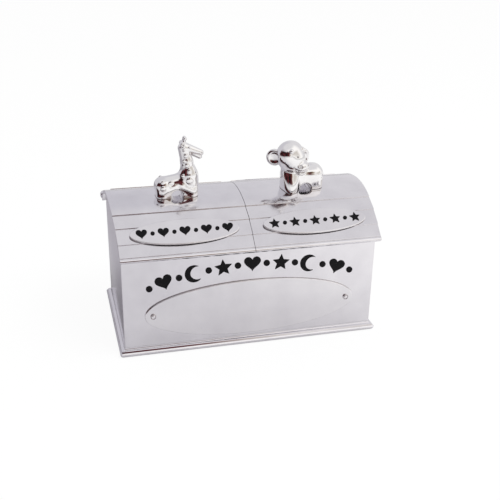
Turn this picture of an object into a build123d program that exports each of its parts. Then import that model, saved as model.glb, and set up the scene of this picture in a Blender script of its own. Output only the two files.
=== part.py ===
# Silver keepsake box for a first tooth and a first curl: one body with two compartments,
# two barrel lids side by side, and a cast animal standing on each lid.
# Millimetres. The origin is the middle of the underside, +X is to the right, +Y to the back, +Z up.
from build123d import *
import math
import os

# Body
body_width = 100.0
body_depth = 53.4
wall = 1.6
corner_round = 0.5
seat_gap = 0.05
moving_gap = 0.3
overrun = 5.0

# Barrel that lids and rims follow, seen from the end
roof_radius = 40.0
roof_centre_height = 16.2
roof_setback = 0.5

# Base moulding
base_height = 3.6
tip_height = 1.9
tip_band = 0.3
foot_overhang = 1.1
tip_overhang = 1.9
top_overhang = 0.1
cove_steps = 5
recess_depth = 1.0
recess_margin = 3.0
felt_proud = 0.2
felt_clearance = 0.2
felt_corner = 1.5

# Base screws and their bosses
boss_radius = 2.4
boss_merge = 0.4
boss_height = 4.5
base_screw_radius = 1.0
base_screw_head_radius = 1.9
base_screw_head_depth = 0.9
base_screw_grip = 3.4
pilot_spare = 0.4
slot_width = 0.45
slot_depth = 0.35

# Divider and linings
divider_thickness = 1.4
lining_gap = 0.6
lining_wall = 1.0
lining_floor = 1.2
lining_corner = 2.5
lining_drop = 4.0

# Front nameplate and its rivets
nameplate_half_width = 41.8
nameplate_half_height = 11.5
nameplate_centre_height = 16.2
nameplate_thickness = 0.7
plate_edge_round = 0.35
nameplate_rivet_reach = 38.7
nameplate_rivet_head_radius = 1.1
rivet_radius = 0.7
rivet_head_radius = 1.15
rivet_head_height = 0.6
rivet_tail_height = 0.3
rivet_dome_share = 0.8

# Enamel motifs on the front
front_motif_count = 15
front_motif_size = 7.0
front_motif_reach = 39.8
front_motif_arc_half_width = 52.0
front_motif_arc_half_height = 18.0
enamel_thickness = 0.3

# Lids
lid_thickness = 1.5
lid_end_overhang = 0.5
lid_split_gap = 0.3
lid_back_inset = 0.35
course_count = 3
first_course_angle = 20.7
course_angle = 10.0
course_step = 0.35
lip_height = 1.6
lip_bead = 0.2

# Lid plaques and their motifs
plaque_half_width = 20.7
plaque_half_height = 5.4
plaque_thickness = 0.7
plaque_motif_count = 9
plaque_motif_size = 4.4
plaque_motif_reach = 16.2

# Hinges
knuckle_radius = 1.6
rod_radius = 0.8
running_clearance = 0.05
knuckle_count = 5
leaf_thickness = 0.7
leaf_inset = 2.0
leaf_height = 8.5
leaf_rivet_count = 3
cap_radius = 2.0
cap_length = 1.5
cap_round = 1.3
cap_hole_depth = 0.9
lid_opening = 100.0

# Cast animals
figure_setback = 4.0
giraffe_height = 23.6
cub_height = 19.6
figure_screw_radius = 0.8
figure_screw_head_radius = 1.5
figure_screw_head_height = 0.9
figure_screw_grip = 3.2

# Derived places
front_y = -body_depth / 2
back_y = body_depth / 2
inner_half_width = body_width / 2 - wall
inner_half_depth = body_depth / 2 - wall
roof_centre_y = -roof_setback
lid_inner_radius = roof_radius - lid_thickness
rim_radius = lid_inner_radius - moving_gap
recess_top = felt_proud + recess_depth
lid_end_x = body_width / 2 + lid_end_overhang
lid_width = lid_end_x - lid_split_gap / 2
lid_centre_x = lid_end_x - lid_width / 2
lid_front_angle = first_course_angle + (course_count - 1) * course_angle
lid_back_angle = -math.degrees(math.asin((back_y - lid_back_inset - roof_centre_y) / roof_radius))
plaque_angle = lid_front_angle - course_angle / 2
hinge_y = back_y + seat_gap + knuckle_radius
hinge_reach = roof_radius + seat_gap + knuckle_radius
hinge_z = roof_centre_height + math.sqrt(hinge_reach**2 - (hinge_y - roof_centre_y) ** 2)
hinge_angle = -math.degrees(math.asin((hinge_y - roof_centre_y) / hinge_reach))
leaf_width = lid_width - 2 * leaf_inset
crest_z = roof_centre_height + roof_radius
boss_x = inner_half_width - boss_radius + boss_merge
boss_y = inner_half_depth - boss_radius + boss_merge
boss_places = [(sx * boss_x, sy * boss_y) for sx in (-1, 1) for sy in (-1, 1)]

# The animals, in shares of their height: x runs along the lid to the right, y to the back, z up.
# Each row is a tapered limb: one end's x, y, z and radius, then the other end's.
giraffe_limb_shares = [
    (-0.215, -0.035, 0.215, 0.145, 0.215, -0.035, 0.228, 0.152),
    (-0.215, 0.035, 0.215, 0.145, 0.215, 0.035, 0.228, 0.152),
    (-0.230, -0.070, 0.030, 0.115, -0.222, -0.060, 0.200, 0.120),
    (-0.230, 0.070, 0.030, 0.115, -0.222, 0.060, 0.200, 0.120),
    (0.250, -0.070, 0.030, 0.112, 0.235, -0.060, 0.220, 0.106),
    (0.250, 0.070, 0.030, 0.112, 0.235, 0.060, 0.220, 0.106),
    (0.205, 0.0, 0.300, 0.150, 0.130, 0.0, 0.750, 0.080),
    (0.155, 0.0, 0.815, 0.092, 0.405, 0.0, 0.690, 0.062),
    (0.110, -0.050, 0.855, 0.035, 0.095, -0.120, 0.865, 0.022),
    (0.110, 0.050, 0.855, 0.035, 0.095, 0.120, 0.865, 0.022),
    (0.130, -0.038, 0.870, 0.026, 0.150, -0.045, 0.965, 0.032),
    (0.130, 0.038, 0.870, 0.026, 0.150, 0.045, 0.965, 0.032),
    (-0.335, 0.0, 0.270, 0.022, -0.358, 0.0, 0.130, 0.030),
]
giraffe_screw_shares = (-0.225, 0.245)
cub_limb_shares = [
    (-0.205, 0.0, 0.260, 0.235, 0.240, 0.0, 0.235, 0.192),
    (-0.330, -0.110, 0.040, 0.120, -0.300, -0.090, 0.260, 0.130),
    (-0.150, 0.110, 0.040, 0.115, -0.180, 0.090, 0.260, 0.130),
    (0.320, -0.100, 0.040, 0.115, 0.300, -0.080, 0.240, 0.135),
    (0.320, 0.100, 0.040, 0.115, 0.300, 0.080, 0.240, 0.135),
    (-0.240, -0.060, 0.680, 0.285, -0.240, -0.060, 0.722, 0.278),
    (-0.175, -0.250, 0.545, 0.135, -0.085, -0.265, 0.545, 0.130),
    (-0.100, -0.395, 0.580, 0.050, -0.060, -0.395, 0.580, 0.044),
    (0.420, 0.0, 0.300, 0.060, 0.455, 0.0, 0.305, 0.050),
]
# The cub's ears: x, y, z, radius and half thickness
cub_ear_shares = [
    (-0.590, -0.175, 0.690, 0.150, 0.050),
    (0.115, 0.060, 0.690, 0.150, 0.050),
]
cub_ear_turn = 20.0
cub_screw_shares = (-0.235, 0.320)

# Enamel shapes: heart's square, star's points and inner corners, moon's bite and its place, dot size
heart_square_share = 0.59
star_points = 5
star_inner_share = 0.45
moon_bite_share = 0.80
moon_shift_share = 0.42
dot_share = 0.36


# Point of the end view at a radius and at degrees from the crest towards the front
def polar(radius, angle):
    y = roof_centre_y - radius * math.sin(math.radians(angle))
    z = roof_centre_height + radius * math.cos(math.radians(angle))
    return (y, z)


# Height of a barrel surface above a place in y
def rise(radius, y):
    return roof_centre_height + math.sqrt(radius**2 - (y - roof_centre_y) ** 2)


def roof_arc(radius, start, end):
    return ThreePointArc(polar(radius, start), polar(radius, (start + end) / 2), polar(radius, end))


# Solid of an end view outline between two places in x
def along_x(edges, start, end):
    face = make_face(Plane.YZ * (Curve() + edges))
    return Pos(start, 0, 0) * extrude(face, amount=end - start)


# Block with flat sides and a barrel top
def roof_block(radius, half_depth, floor, start, end):
    front_top = (-half_depth, rise(radius, -half_depth))
    back_top = (half_depth, rise(radius, half_depth))
    edges = [
        Line((-half_depth, floor), (half_depth, floor)),
        Line((half_depth, floor), back_top),
        ThreePointArc(back_top, (roof_centre_y, roof_centre_height + radius), front_top),
        Line(front_top, (-half_depth, floor)),
    ]
    return along_x(edges, start, end)


def front_plane(x, z):
    return Plane(origin=(x, front_y, z), x_dir=(1, 0, 0), z_dir=(0, -1, 0))


def slope_plane(x, radius, angle):
    y, z = polar(radius, angle)
    tilt = math.radians(angle)
    return Plane(origin=(x, y, z), x_dir=(1, 0, 0), z_dir=(0, -math.sin(tilt), math.cos(tilt)))


def spread(count, reach):
    return [reach * (2 * i / (count - 1) - 1) for i in range(count)]


# Rivet on a plane's z axis: head above the plates, tail below them
def rivet(head_radius, grip):
    bottom = (Align.CENTER, Align.CENTER, Align.MIN)
    head = Cylinder(head_radius, rivet_head_height, align=bottom)
    head = fillet(head.edges().sort_by(Axis.Z)[-1], rivet_head_height * rivet_dome_share)
    tail_drop = grip + rivet_tail_height
    shank = Pos(0, 0, -tail_drop) * Cylinder(rivet_radius, tail_drop + rivet_head_height / 2, align=bottom)
    tail = Pos(0, 0, -tail_drop) * Cylinder(head_radius, rivet_tail_height - seat_gap, align=bottom)
    return head + shank + tail


def rivet_hole():
    return Cylinder(rivet_radius + seat_gap, 2 * overrun)


# Places
def nameplate_rivet_planes():
    return [front_plane(sx * nameplate_rivet_reach, nameplate_centre_height) for sx in (-1, 1)]


def leaf_rivet_places(side):
    reach = leaf_width / 2 - leaf_inset
    return [side * lid_centre_x + x for x in spread(leaf_rivet_count, reach)]


def fixed_leaf_rivet_planes():
    z = hinge_z - knuckle_radius - moving_gap - leaf_height / 2
    planes = []
    for side in (-1, 1):
        for x in leaf_rivet_places(side):
            planes.append(Plane(origin=(x, back_y, z), x_dir=(1, 0, 0), z_dir=(0, 1, 0)))
    return planes


def lid_leaf_rivet_planes(side):
    half_sweep = math.degrees(leaf_height / roof_radius) / 2
    angle = leaf_end_angle() + half_sweep
    return [slope_plane(x, roof_radius, angle) for x in leaf_rivet_places(side)]


# The lid leaf's plain strip ends short of the fixed knuckles by the moving gap.
def leaf_end_angle():
    return hinge_angle + math.degrees((knuckle_radius + 2 * moving_gap) / roof_radius)


# Body
def body_shell():
    shell = roof_block(rim_radius, body_depth / 2, base_height, -body_width / 2, body_width / 2)
    shell = fillet(shell.edges().filter_by(Axis.Z), corner_round)
    bottom = (Align.CENTER, Align.CENTER, Align.MIN)
    cavity = Box(2 * inner_half_width, 2 * inner_half_depth, crest_z, align=bottom)
    shell -= Pos(0, 0, base_height) * cavity
    for x, y in boss_places:
        shell += Pos(x, y, base_height) * Cylinder(boss_radius, boss_height, align=bottom)
    for x, y in boss_places:
        pilot = Cylinder(base_screw_radius + seat_gap, base_screw_grip + pilot_spare, align=bottom)
        shell -= Pos(x, y, base_height) * pilot
    for plane in nameplate_rivet_planes() + fixed_leaf_rivet_planes():
        shell -= plane * rivet_hole()
    return shell


# Overhang and height of the base moulding from the foot up: a quarter round, a band and a cove
def base_levels():
    levels = []
    for i in range(cove_steps + 1):
        turn = math.pi / 2 * i / cove_steps
        overhang = foot_overhang + (tip_overhang - foot_overhang) * math.sin(turn)
        levels.append((overhang, tip_height - (tip_height - felt_proud) * math.cos(turn)))
    cove_start = tip_height + tip_band
    for i in range(cove_steps + 1):
        turn = math.pi / 2 * i / cove_steps
        overhang = tip_overhang - (tip_overhang - top_overhang) * math.sin(turn)
        levels.append((overhang, base_height - (base_height - cove_start) * math.cos(turn)))
    return levels


def base_screw(clearance):
    bottom = (Align.CENTER, Align.CENTER, Align.MIN)
    radius = base_screw_radius + clearance
    head = Cone(base_screw_head_radius + clearance, radius, base_screw_head_depth, align=bottom)
    length = base_height - recess_top + base_screw_grip
    return head + Cylinder(radius, length, align=bottom)


def base_moulding():
    sections = []
    for overhang, z in base_levels():
        sections.append(Pos(0, 0, z) * Rectangle(body_width + 2 * overhang, body_depth + 2 * overhang))
    base = loft(sections, ruled=True)
    recess_width = body_width - 2 * recess_margin
    recess_length = body_depth - 2 * recess_margin
    recess = extrude(RectangleRounded(recess_width, recess_length, felt_corner), amount=recess_top)
    base -= recess
    for x, y in boss_places:
        base -= Pos(x, y, recess_top) * base_screw(seat_gap)
    return base


def base_felt():
    width = body_width - 2 * recess_margin - 2 * felt_clearance
    length = body_depth - 2 * recess_margin - 2 * felt_clearance
    return extrude(RectangleRounded(width, length, felt_corner), amount=recess_top - seat_gap)


def base_screws():
    screws = []
    slot = Box(2 * base_screw_head_radius, slot_width, 2 * slot_depth)
    for x, y in boss_places:
        screws.append(Pos(x, y, recess_top) * (base_screw(0) - slot))
    return Compound(screws)


def divider():
    half = divider_thickness / 2
    return roof_block(rim_radius, inner_half_depth - seat_gap, base_height, -half, half)


# Velvet-covered tray of one compartment, standing on the screw bosses
def lining(side):
    inner_x = divider_thickness / 2 + lining_gap
    outer_x = inner_half_width - lining_gap
    width = outer_x - inner_x
    length = 2 * (inner_half_depth - lining_gap)
    floor_z = base_height + boss_height + seat_gap
    height = rise(rim_radius, front_y) - lining_drop - floor_z
    tray = extrude(RectangleRounded(width, length, lining_corner), amount=height)
    inner = RectangleRounded(width - 2 * lining_wall, length - 2 * lining_wall, lining_corner - lining_wall)
    tray -= Pos(0, 0, lining_floor) * extrude(inner, amount=height)
    return Pos(side * (inner_x + width / 2), 0, floor_z) * tray


# Oval plate with a rounded front edge, seated on its plane
def oval_plate(half_width, half_height, thickness):
    plate = extrude(Ellipse(half_width, half_height), amount=thickness)
    return fillet(plate.edges().sort_by(Axis.Z)[-1], plate_edge_round)


def front_nameplate():
    plate = front_plane(0, nameplate_centre_height) * oval_plate(
        nameplate_half_width, nameplate_half_height, nameplate_thickness
    )
    for plane in nameplate_rivet_planes():
        plate -= plane * rivet_hole()
    return plate


def nameplate_rivets():
    rivets = []
    for plane in nameplate_rivet_planes():
        seat = Pos(0, 0, nameplate_thickness)
        rivets.append(plane * seat * rivet(nameplate_rivet_head_radius, nameplate_thickness + wall))
    return Compound(rivets)


# Enamel shapes, flat
def heart(size):
    side = size * heart_square_share
    lobe = side / math.sqrt(8)
    shape = Rot(0, 0, 45) * Rectangle(side, side)
    for sx in (-1, 1):
        shape += Pos(sx * lobe, lobe) * Circle(side / 2)
    return shape


def star(size):
    points = []
    for i in range(2 * star_points):
        radius = size / 2 * (star_inner_share if i % 2 else 1)
        turn = math.pi / 2 + math.pi * i / star_points
        points.append((radius * math.cos(turn), radius * math.sin(turn)))
    return make_face(Polyline(*points, close=True))


def moon(size):
    radius = size / 2
    return Circle(radius) - Pos(radius * moon_shift_share, 0) * Circle(radius * moon_bite_share)


def dot(size):
    return Circle(size / 2 * dot_share)


def enamel(shape):
    return extrude(shape, amount=enamel_thickness)


# Hearts, stars and moons with a dot between, in an arc over the nameplate
def front_motifs():
    shapes = [heart, dot, star, dot, moon, dot]
    motifs = []
    middle = front_motif_count // 2
    for i, x in enumerate(spread(front_motif_count, front_motif_reach)):
        lean = math.sqrt(1 - (x / front_motif_arc_half_width) ** 2)
        z = nameplate_centre_height + front_motif_arc_half_height * lean
        slope = front_motif_arc_half_height * x / (front_motif_arc_half_width**2 * lean)
        turn = -math.degrees(math.atan(slope))
        shape = shapes[abs(i - middle) % len(shapes)](front_motif_size)
        motifs.append(front_plane(x, z) * Rot(0, 0, turn) * enamel(shape))
    return Compound(motifs)


# Lids
def lid_section():
    edges = [roof_arc(roof_radius, lid_back_angle, first_course_angle)]
    lip_angle = lid_front_angle + course_angle - math.degrees(lip_height / roof_radius)
    end_angle = lid_front_angle + course_angle
    for i in range(course_count):
        top = first_course_angle + i * course_angle
        foot = top + course_angle if i < course_count - 1 else lip_angle
        edges.append(Line(polar(roof_radius, top), polar(roof_radius - course_step, top)))
        edges.append(Line(polar(roof_radius - course_step, top), polar(roof_radius, foot)))
    bead_top = polar(roof_radius + lip_bead, (lip_angle + end_angle) / 2)
    edges.append(ThreePointArc(polar(roof_radius, lip_angle), bead_top, polar(roof_radius, end_angle)))
    edges.append(Line(polar(roof_radius, end_angle), polar(lid_inner_radius, end_angle)))
    edges.append(roof_arc(lid_inner_radius, end_angle, lid_back_angle))
    edges.append(Line(polar(lid_inner_radius, lid_back_angle), polar(roof_radius, lid_back_angle)))
    return edges


def lid_shell(side, figure_screw_places):
    start = min(side * lid_split_gap / 2, side * lid_end_x)
    lid = along_x(lid_section(), start, start + lid_width)
    for plane in lid_leaf_rivet_planes(side):
        lid -= plane * rivet_hole()
    for x, y in figure_screw_places:
        lid -= Pos(x, y, crest_z) * Cylinder(figure_screw_radius + seat_gap, 2 * overrun)
    return lid


# Plaques lie on the proud edges of two courses.
def plaque_plane(side, lift):
    radius = roof_radius * math.cos(math.radians(course_angle / 2)) + lift
    return slope_plane(side * lid_centre_x, radius, plaque_angle)


def lid_plaque(side):
    return plaque_plane(side, seat_gap) * oval_plate(plaque_half_width, plaque_half_height, plaque_thickness)


def plaque_motifs(side, shapes):
    motifs = []
    for i, x in enumerate(spread(plaque_motif_count, plaque_motif_reach)):
        shape = shapes[i % len(shapes)](plaque_motif_size)
        motifs.append(plaque_plane(side, seat_gap + plaque_thickness) * Pos(x, 0, 0) * enamel(shape))
    return Compound(motifs)


# Hinge knuckles of one leaf: the even ones are fixed to the body, the odd ones turn with the lid.
def knuckle_spans(side, first):
    length = (leaf_width - (knuckle_count - 1) * moving_gap) / knuckle_count
    start = side * lid_centre_x - leaf_width / 2
    spans = []
    for i in range(first, knuckle_count, 2):
        x = start + i * (length + moving_gap)
        spans.append((x, x + length))
    return spans


def rod_cylinder(radius, start, end):
    bar = Cylinder(radius, end - start, align=(Align.CENTER, Align.CENTER, Align.MIN))
    return Pos(start, hinge_y, hinge_z) * Rot(0, 90, 0) * bar


def box_between(low, high):
    size = [b - a for a, b in zip(low, high)]
    return Pos(*low) * Box(*size, align=(Align.MIN, Align.MIN, Align.MIN))


def fixed_leaf(side):
    low_x = side * lid_centre_x - leaf_width / 2
    near = back_y + seat_gap
    far = near + leaf_thickness
    top = hinge_z - knuckle_radius - moving_gap
    leaf = box_between((low_x, near, top - leaf_height), (low_x + leaf_width, far, top))
    for start, end in knuckle_spans(side, 0):
        leaf += box_between((start, near, top - leaf_height / 2), (end, far, hinge_z))
        leaf += rod_cylinder(knuckle_radius, start, end)
    for start, end in knuckle_spans(side, 0):
        leaf -= rod_cylinder(rod_radius + running_clearance, start - overrun, end + overrun)
    for plane in fixed_leaf_rivet_planes():
        leaf -= plane * rivet_hole()
    return leaf


# Strip of the barrel surface, one leaf thick
def leaf_strip(start_angle, end_angle, start, end):
    near = roof_radius + seat_gap
    far = near + leaf_thickness
    edges = [
        roof_arc(near, start_angle, end_angle),
        Line(polar(near, end_angle), polar(far, end_angle)),
        roof_arc(far, end_angle, start_angle),
        Line(polar(far, start_angle), polar(near, start_angle)),
    ]
    return along_x(edges, start, end)


def lid_leaf(side):
    low_x = side * lid_centre_x - leaf_width / 2
    strip_end = leaf_end_angle()
    strip_start = strip_end + math.degrees(leaf_height / roof_radius)
    leaf = leaf_strip(strip_start, strip_end, low_x, low_x + leaf_width)
    for start, end in knuckle_spans(side, 1):
        leaf += leaf_strip(strip_start, hinge_angle, start, end)
        leaf += rod_cylinder(knuckle_radius, start, end)
    for start, end in knuckle_spans(side, 1):
        leaf -= rod_cylinder(rod_radius + running_clearance, start - overrun, end + overrun)
    for plane in lid_leaf_rivet_planes(side):
        leaf -= plane * rivet_hole()
    return leaf


def hinge_rod():
    reach = lid_end_x + cap_hole_depth
    return rod_cylinder(rod_radius, -reach, reach)


def rod_caps():
    cap = Cylinder(cap_radius, cap_length, align=(Align.CENTER, Align.CENTER, Align.MIN))
    cap = fillet(cap.edges().sort_by(Axis.Z)[-1], cap_round)
    cap -= Cylinder(rod_radius + seat_gap, 2 * cap_hole_depth)
    caps = []
    for side in (-1, 1):
        caps.append(Pos(side * (lid_end_x + seat_gap), hinge_y, hinge_z) * Rot(0, side * 90, 0) * cap)
    return Compound(caps)


def fixed_leaf_rivets():
    seat = Pos(0, 0, leaf_thickness + seat_gap)
    grip = leaf_thickness + seat_gap + wall
    return Compound([plane * seat * rivet(rivet_head_radius, grip) for plane in fixed_leaf_rivet_planes()])


def lid_leaf_rivets(side):
    seat = Pos(0, 0, leaf_thickness + 2 * seat_gap)
    grip = leaf_thickness + 2 * seat_gap + lid_thickness
    return Compound([plane * seat * rivet(rivet_head_radius, grip) for plane in lid_leaf_rivet_planes(side)])


# Cast animals
# Tapered limb with round ends between two points: one turn of its outline
def limb(height, shares):
    x0, y0, z0, r0, x1, y1, z1, r1 = [height * share for share in shares]
    axis = Vector(x1 - x0, y1 - y0, z1 - z0)
    length = axis.length
    lean = math.asin((r0 - r1) / length)
    low_turn = (lean - math.pi / 2) / 2
    high_turn = (lean + math.pi / 2) / 2
    foot = (0, -r0)
    crown = (0, length + r1)
    low_side = (r0 * math.cos(lean), r0 * math.sin(lean))
    high_side = (r1 * math.cos(lean), length + r1 * math.sin(lean))
    edges = [
        ThreePointArc(foot, (r0 * math.cos(low_turn), r0 * math.sin(low_turn)), low_side),
        Line(low_side, high_side),
        ThreePointArc(high_side, (r1 * math.cos(high_turn), length + r1 * math.sin(high_turn)), crown),
        Line(crown, foot),
    ]
    outline = Plane.XZ * make_face(Curve() + edges)
    return Plane(origin=(x0, y0, z0), z_dir=axis) * revolve(outline, Axis.Z)


# Round-edged disc, facing forward and turned in plan
def ear(height, shares):
    x, y, z, radius, edge = [height * share for share in shares]
    flat = radius - edge
    edges = [
        Line((0, -edge), (flat, -edge)),
        ThreePointArc((flat, -edge), (radius, 0), (flat, edge)),
        Line((flat, edge), (0, edge)),
        Line((0, edge), (0, -edge)),
    ]
    disc = revolve(Plane.XZ * make_face(Curve() + edges), Axis.Z)
    return Pos(x, y, z) * Rot(90, 0, cub_ear_turn) * disc


def figure_screw_places(side, height, screw_shares):
    return [(side * lid_centre_x + height * share, -figure_setback) for share in screw_shares]


def figure(side, height, pieces, screw_shares):
    body = pieces[0]
    for piece in pieces[1:]:
        body += piece
    body = Pos(side * lid_centre_x, -figure_setback, crest_z) * body
    body -= along_x([roof_circle()], -body_width, body_width)
    for x, y in figure_screw_places(side, height, screw_shares):
        pilot = Cylinder(figure_screw_radius + seat_gap, 2 * (figure_screw_grip + pilot_spare))
        body -= Pos(x, y, crest_z) * pilot
    return body


def roof_circle():
    return CenterArc((roof_centre_y, roof_centre_height), roof_radius + seat_gap, 0, 360)


# Pan-head screws that hold an animal from inside its lid
def figure_screws(side, height, screw_shares):
    bottom = (Align.CENTER, Align.CENTER, Align.MIN)
    seat_z = rise(lid_inner_radius, -figure_setback - figure_screw_head_radius) - seat_gap
    underside = Pos(0, 0, -figure_screw_head_height)
    head = underside * Cylinder(figure_screw_head_radius, figure_screw_head_height, align=bottom)
    head -= underside * Box(2 * figure_screw_head_radius, slot_width, 2 * slot_depth)
    length = crest_z + figure_screw_grip - seat_z + slot_depth
    shank = Pos(0, 0, -slot_depth) * Cylinder(figure_screw_radius, length, align=bottom)
    screws = []
    for x, y in figure_screw_places(side, height, screw_shares):
        screws.append(Pos(x, y, seat_z) * (head + shank))
    return Compound(screws)


giraffe_pieces = [limb(giraffe_height, shares) for shares in giraffe_limb_shares]
giraffe_screws = figure_screw_places(-1, giraffe_height, giraffe_screw_shares)
cub_pieces = [limb(cub_height, shares) for shares in cub_limb_shares]
cub_pieces += [ear(cub_height, shares) for shares in cub_ear_shares]
cub_screws = figure_screw_places(1, cub_height, cub_screw_shares)

nodes = {
    "body_shell": body_shell(),
    "base_moulding": base_moulding(),
    "base_felt": base_felt(),
    "base_screws": base_screws(),
    "divider": divider(),
    "tooth_lining": lining(-1),
    "curl_lining": lining(1),
    "front_nameplate": front_nameplate(),
    "nameplate_rivets": nameplate_rivets(),
    "front_motifs": front_motifs(),
    "hinge_rod": hinge_rod(),
    "rod_caps": rod_caps(),
    "tooth_fixed_leaf": fixed_leaf(-1),
    "curl_fixed_leaf": fixed_leaf(1),
    "fixed_leaf_rivets": fixed_leaf_rivets(),
    "tooth_lid_shell": lid_shell(-1, giraffe_screws),
    "tooth_lid_leaf": lid_leaf(-1),
    "tooth_lid_leaf_rivets": lid_leaf_rivets(-1),
    "tooth_plaque": lid_plaque(-1),
    "tooth_plaque_motifs": plaque_motifs(-1, [heart, dot]),
    "giraffe": figure(-1, giraffe_height, giraffe_pieces, giraffe_screw_shares),
    "giraffe_screws": figure_screws(-1, giraffe_height, giraffe_screw_shares),
    "curl_lid_shell": lid_shell(1, cub_screws),
    "curl_lid_leaf": lid_leaf(1),
    "curl_lid_leaf_rivets": lid_leaf_rivets(1),
    "curl_plaque": lid_plaque(1),
    "curl_plaque_motifs": plaque_motifs(1, [star, dot]),
    "bear_cub": figure(1, cub_height, cub_pieces, cub_screw_shares),
    "bear_cub_screws": figure_screws(1, cub_height, cub_screw_shares),
}

os.makedirs("parts", exist_ok=True)
for name, shape in nodes.items():
    export_step(shape, f"parts/{name}.step")
    print(name, len(shape.solids()), "solids", round(shape.volume), "mm3")
print("hinge axis", round(hinge_y, 3), round(hinge_z, 3), "lid opening", lid_opening)
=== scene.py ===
import math

import bmesh
import bpy
import numpy as np
from mathutils import Euler, Matrix, Vector


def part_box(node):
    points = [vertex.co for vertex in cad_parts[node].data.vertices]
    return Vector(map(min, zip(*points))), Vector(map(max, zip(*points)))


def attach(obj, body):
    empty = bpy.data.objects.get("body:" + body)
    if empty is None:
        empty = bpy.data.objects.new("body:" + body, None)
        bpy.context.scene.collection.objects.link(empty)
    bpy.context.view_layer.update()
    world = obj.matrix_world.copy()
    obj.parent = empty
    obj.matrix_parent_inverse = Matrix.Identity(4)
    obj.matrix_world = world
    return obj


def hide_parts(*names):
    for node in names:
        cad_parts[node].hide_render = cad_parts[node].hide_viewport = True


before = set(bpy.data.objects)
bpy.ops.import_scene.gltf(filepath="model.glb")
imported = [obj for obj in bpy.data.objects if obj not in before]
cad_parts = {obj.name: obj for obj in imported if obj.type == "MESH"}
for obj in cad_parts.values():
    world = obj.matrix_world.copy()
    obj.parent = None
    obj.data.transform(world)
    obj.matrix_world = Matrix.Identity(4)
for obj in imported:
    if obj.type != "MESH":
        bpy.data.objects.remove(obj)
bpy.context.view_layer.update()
mm = 0.001
print("frame loaded:", len(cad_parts), "nodes")


def addObject(name, data):
    made = bpy.data.objects.new(name, data)
    bpy.context.scene.collection.objects.link(made)
    return made


# Camera at the photograph's viewing angle
photoCamera = {
    "place": (-0.073572, -0.300955, 0.167949),
    "right": (0.96857485, -0.24813674, 0.0170561),
    "up": (0.08687381, 0.40176377, 0.9116133),
    "back": (-0.23305728, -0.88148399, 0.41069487),
    "lens": 59.10,
    "sensor": 36.0,
    "clip": (0.01, 20.0),
}


def makeCamera(look):
    data = bpy.data.cameras.new("photoCamera")
    data.lens = look["lens"]
    data.sensor_width = look["sensor"]
    data.clip_start, data.clip_end = look["clip"]
    camera = addObject("photoCamera", data)
    columns = [Vector(look[key]).to_4d() for key in ("right", "up", "back", "place")]
    for column, last in zip(columns, (0.0, 0.0, 0.0, 1.0)):
        column.w = last
    camera.matrix_world = Matrix(columns).transposed()
    bpy.context.scene.camera = camera


makeCamera(photoCamera)
bpy.context.scene.view_settings.view_transform = "Standard"


# Node helpers: a value that is a socket is linked, any other is set
def feed(tree, socket, value):
    if isinstance(value, bpy.types.NodeSocket):
        tree.links.new(value, socket)
    else:
        socket.default_value = value


def addNode(tree, kind, inputs=None, **settings):
    made = tree.nodes.new(kind)
    for key, value in settings.items():
        setattr(made, key, value)
    for key, value in (inputs or {}).items():
        feed(tree, made.inputs[key], value)
    return made


def blendTones(tree, share, a, b):
    mixed = addNode(tree, "ShaderNodeMix", {0: share}, data_type="RGBA")
    for index, tone in ((6, a), (7, b)):
        feed(tree, mixed.inputs[index], tone if isinstance(tone, bpy.types.NodeSocket) else (*tone, 1.0))
    return mixed.outputs[2]


def calc(tree, operation, a, b=0.0):
    return addNode(tree, "ShaderNodeMath", {0: a, 1: b}, operation=operation).outputs[0]


def weighted(tree, a, share, b):
    return calc(tree, "ADD", calc(tree, "MULTIPLY", a, share), calc(tree, "MULTIPLY", b, 1.0 - share))


def mapRange(tree, value, low, high, start, end, **settings):
    inputs = {"Value": value, "From Min": low, "From Max": high, "To Min": start, "To Max": end}
    return addNode(tree, "ShaderNodeMapRange", inputs, **settings).outputs[0]


# Roughness that follows the middle range of a grain
def glossOf(tree, grain, look):
    return mapRange(tree, grain, 0.3, 0.7, look["smooth"], look["rough"])


def ramp(tree, factor, stops):
    made = addNode(tree, "ShaderNodeValToRGB", {0: factor})
    elements = made.color_ramp.elements
    while len(elements) < len(stops):
        elements.new(0.5)
    for element, (position, tone) in zip(elements, stops):
        element.position = position
        element.color = (*tone, 1.0)
    return made.outputs[0]


def newMaterial(name):
    material = bpy.data.materials.new(name)
    material.use_nodes = True
    material.node_tree.nodes.clear()
    return material, material.node_tree


# The piece's own place in millimetres, stretched for a grain
def millimetres(tree, stretch=(1.0, 1.0, 1.0), turn=(0.0, 0.0, 0.0)):
    place = addNode(tree, "ShaderNodeTexCoord").outputs["Object"]
    scale = [1000.0 * s for s in stretch]
    return addNode(tree, "ShaderNodeMapping", {"Vector": place, "Rotation": turn, "Scale": scale}).outputs[0]


def noise(tree, place, scale, detail=2.0, roughness=0.5):
    inputs = {"Vector": place, "Scale": scale, "Detail": detail, "Roughness": roughness}
    return addNode(tree, "ShaderNodeTexNoise", inputs).outputs["Fac"]


def bump(tree, height, distance, strength=1.0, normal=None):
    inputs = {"Height": height, "Distance": distance * mm, "Strength": strength}
    if normal:
        inputs["Normal"] = normal
    return addNode(tree, "ShaderNodeBump", inputs).outputs[0]


def finishTree(tree, inputs):
    shader = addNode(tree, "ShaderNodeBsdfPrincipled", inputs)
    addNode(tree, "ShaderNodeOutputMaterial", {"Surface": shader.outputs[0]})


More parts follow.
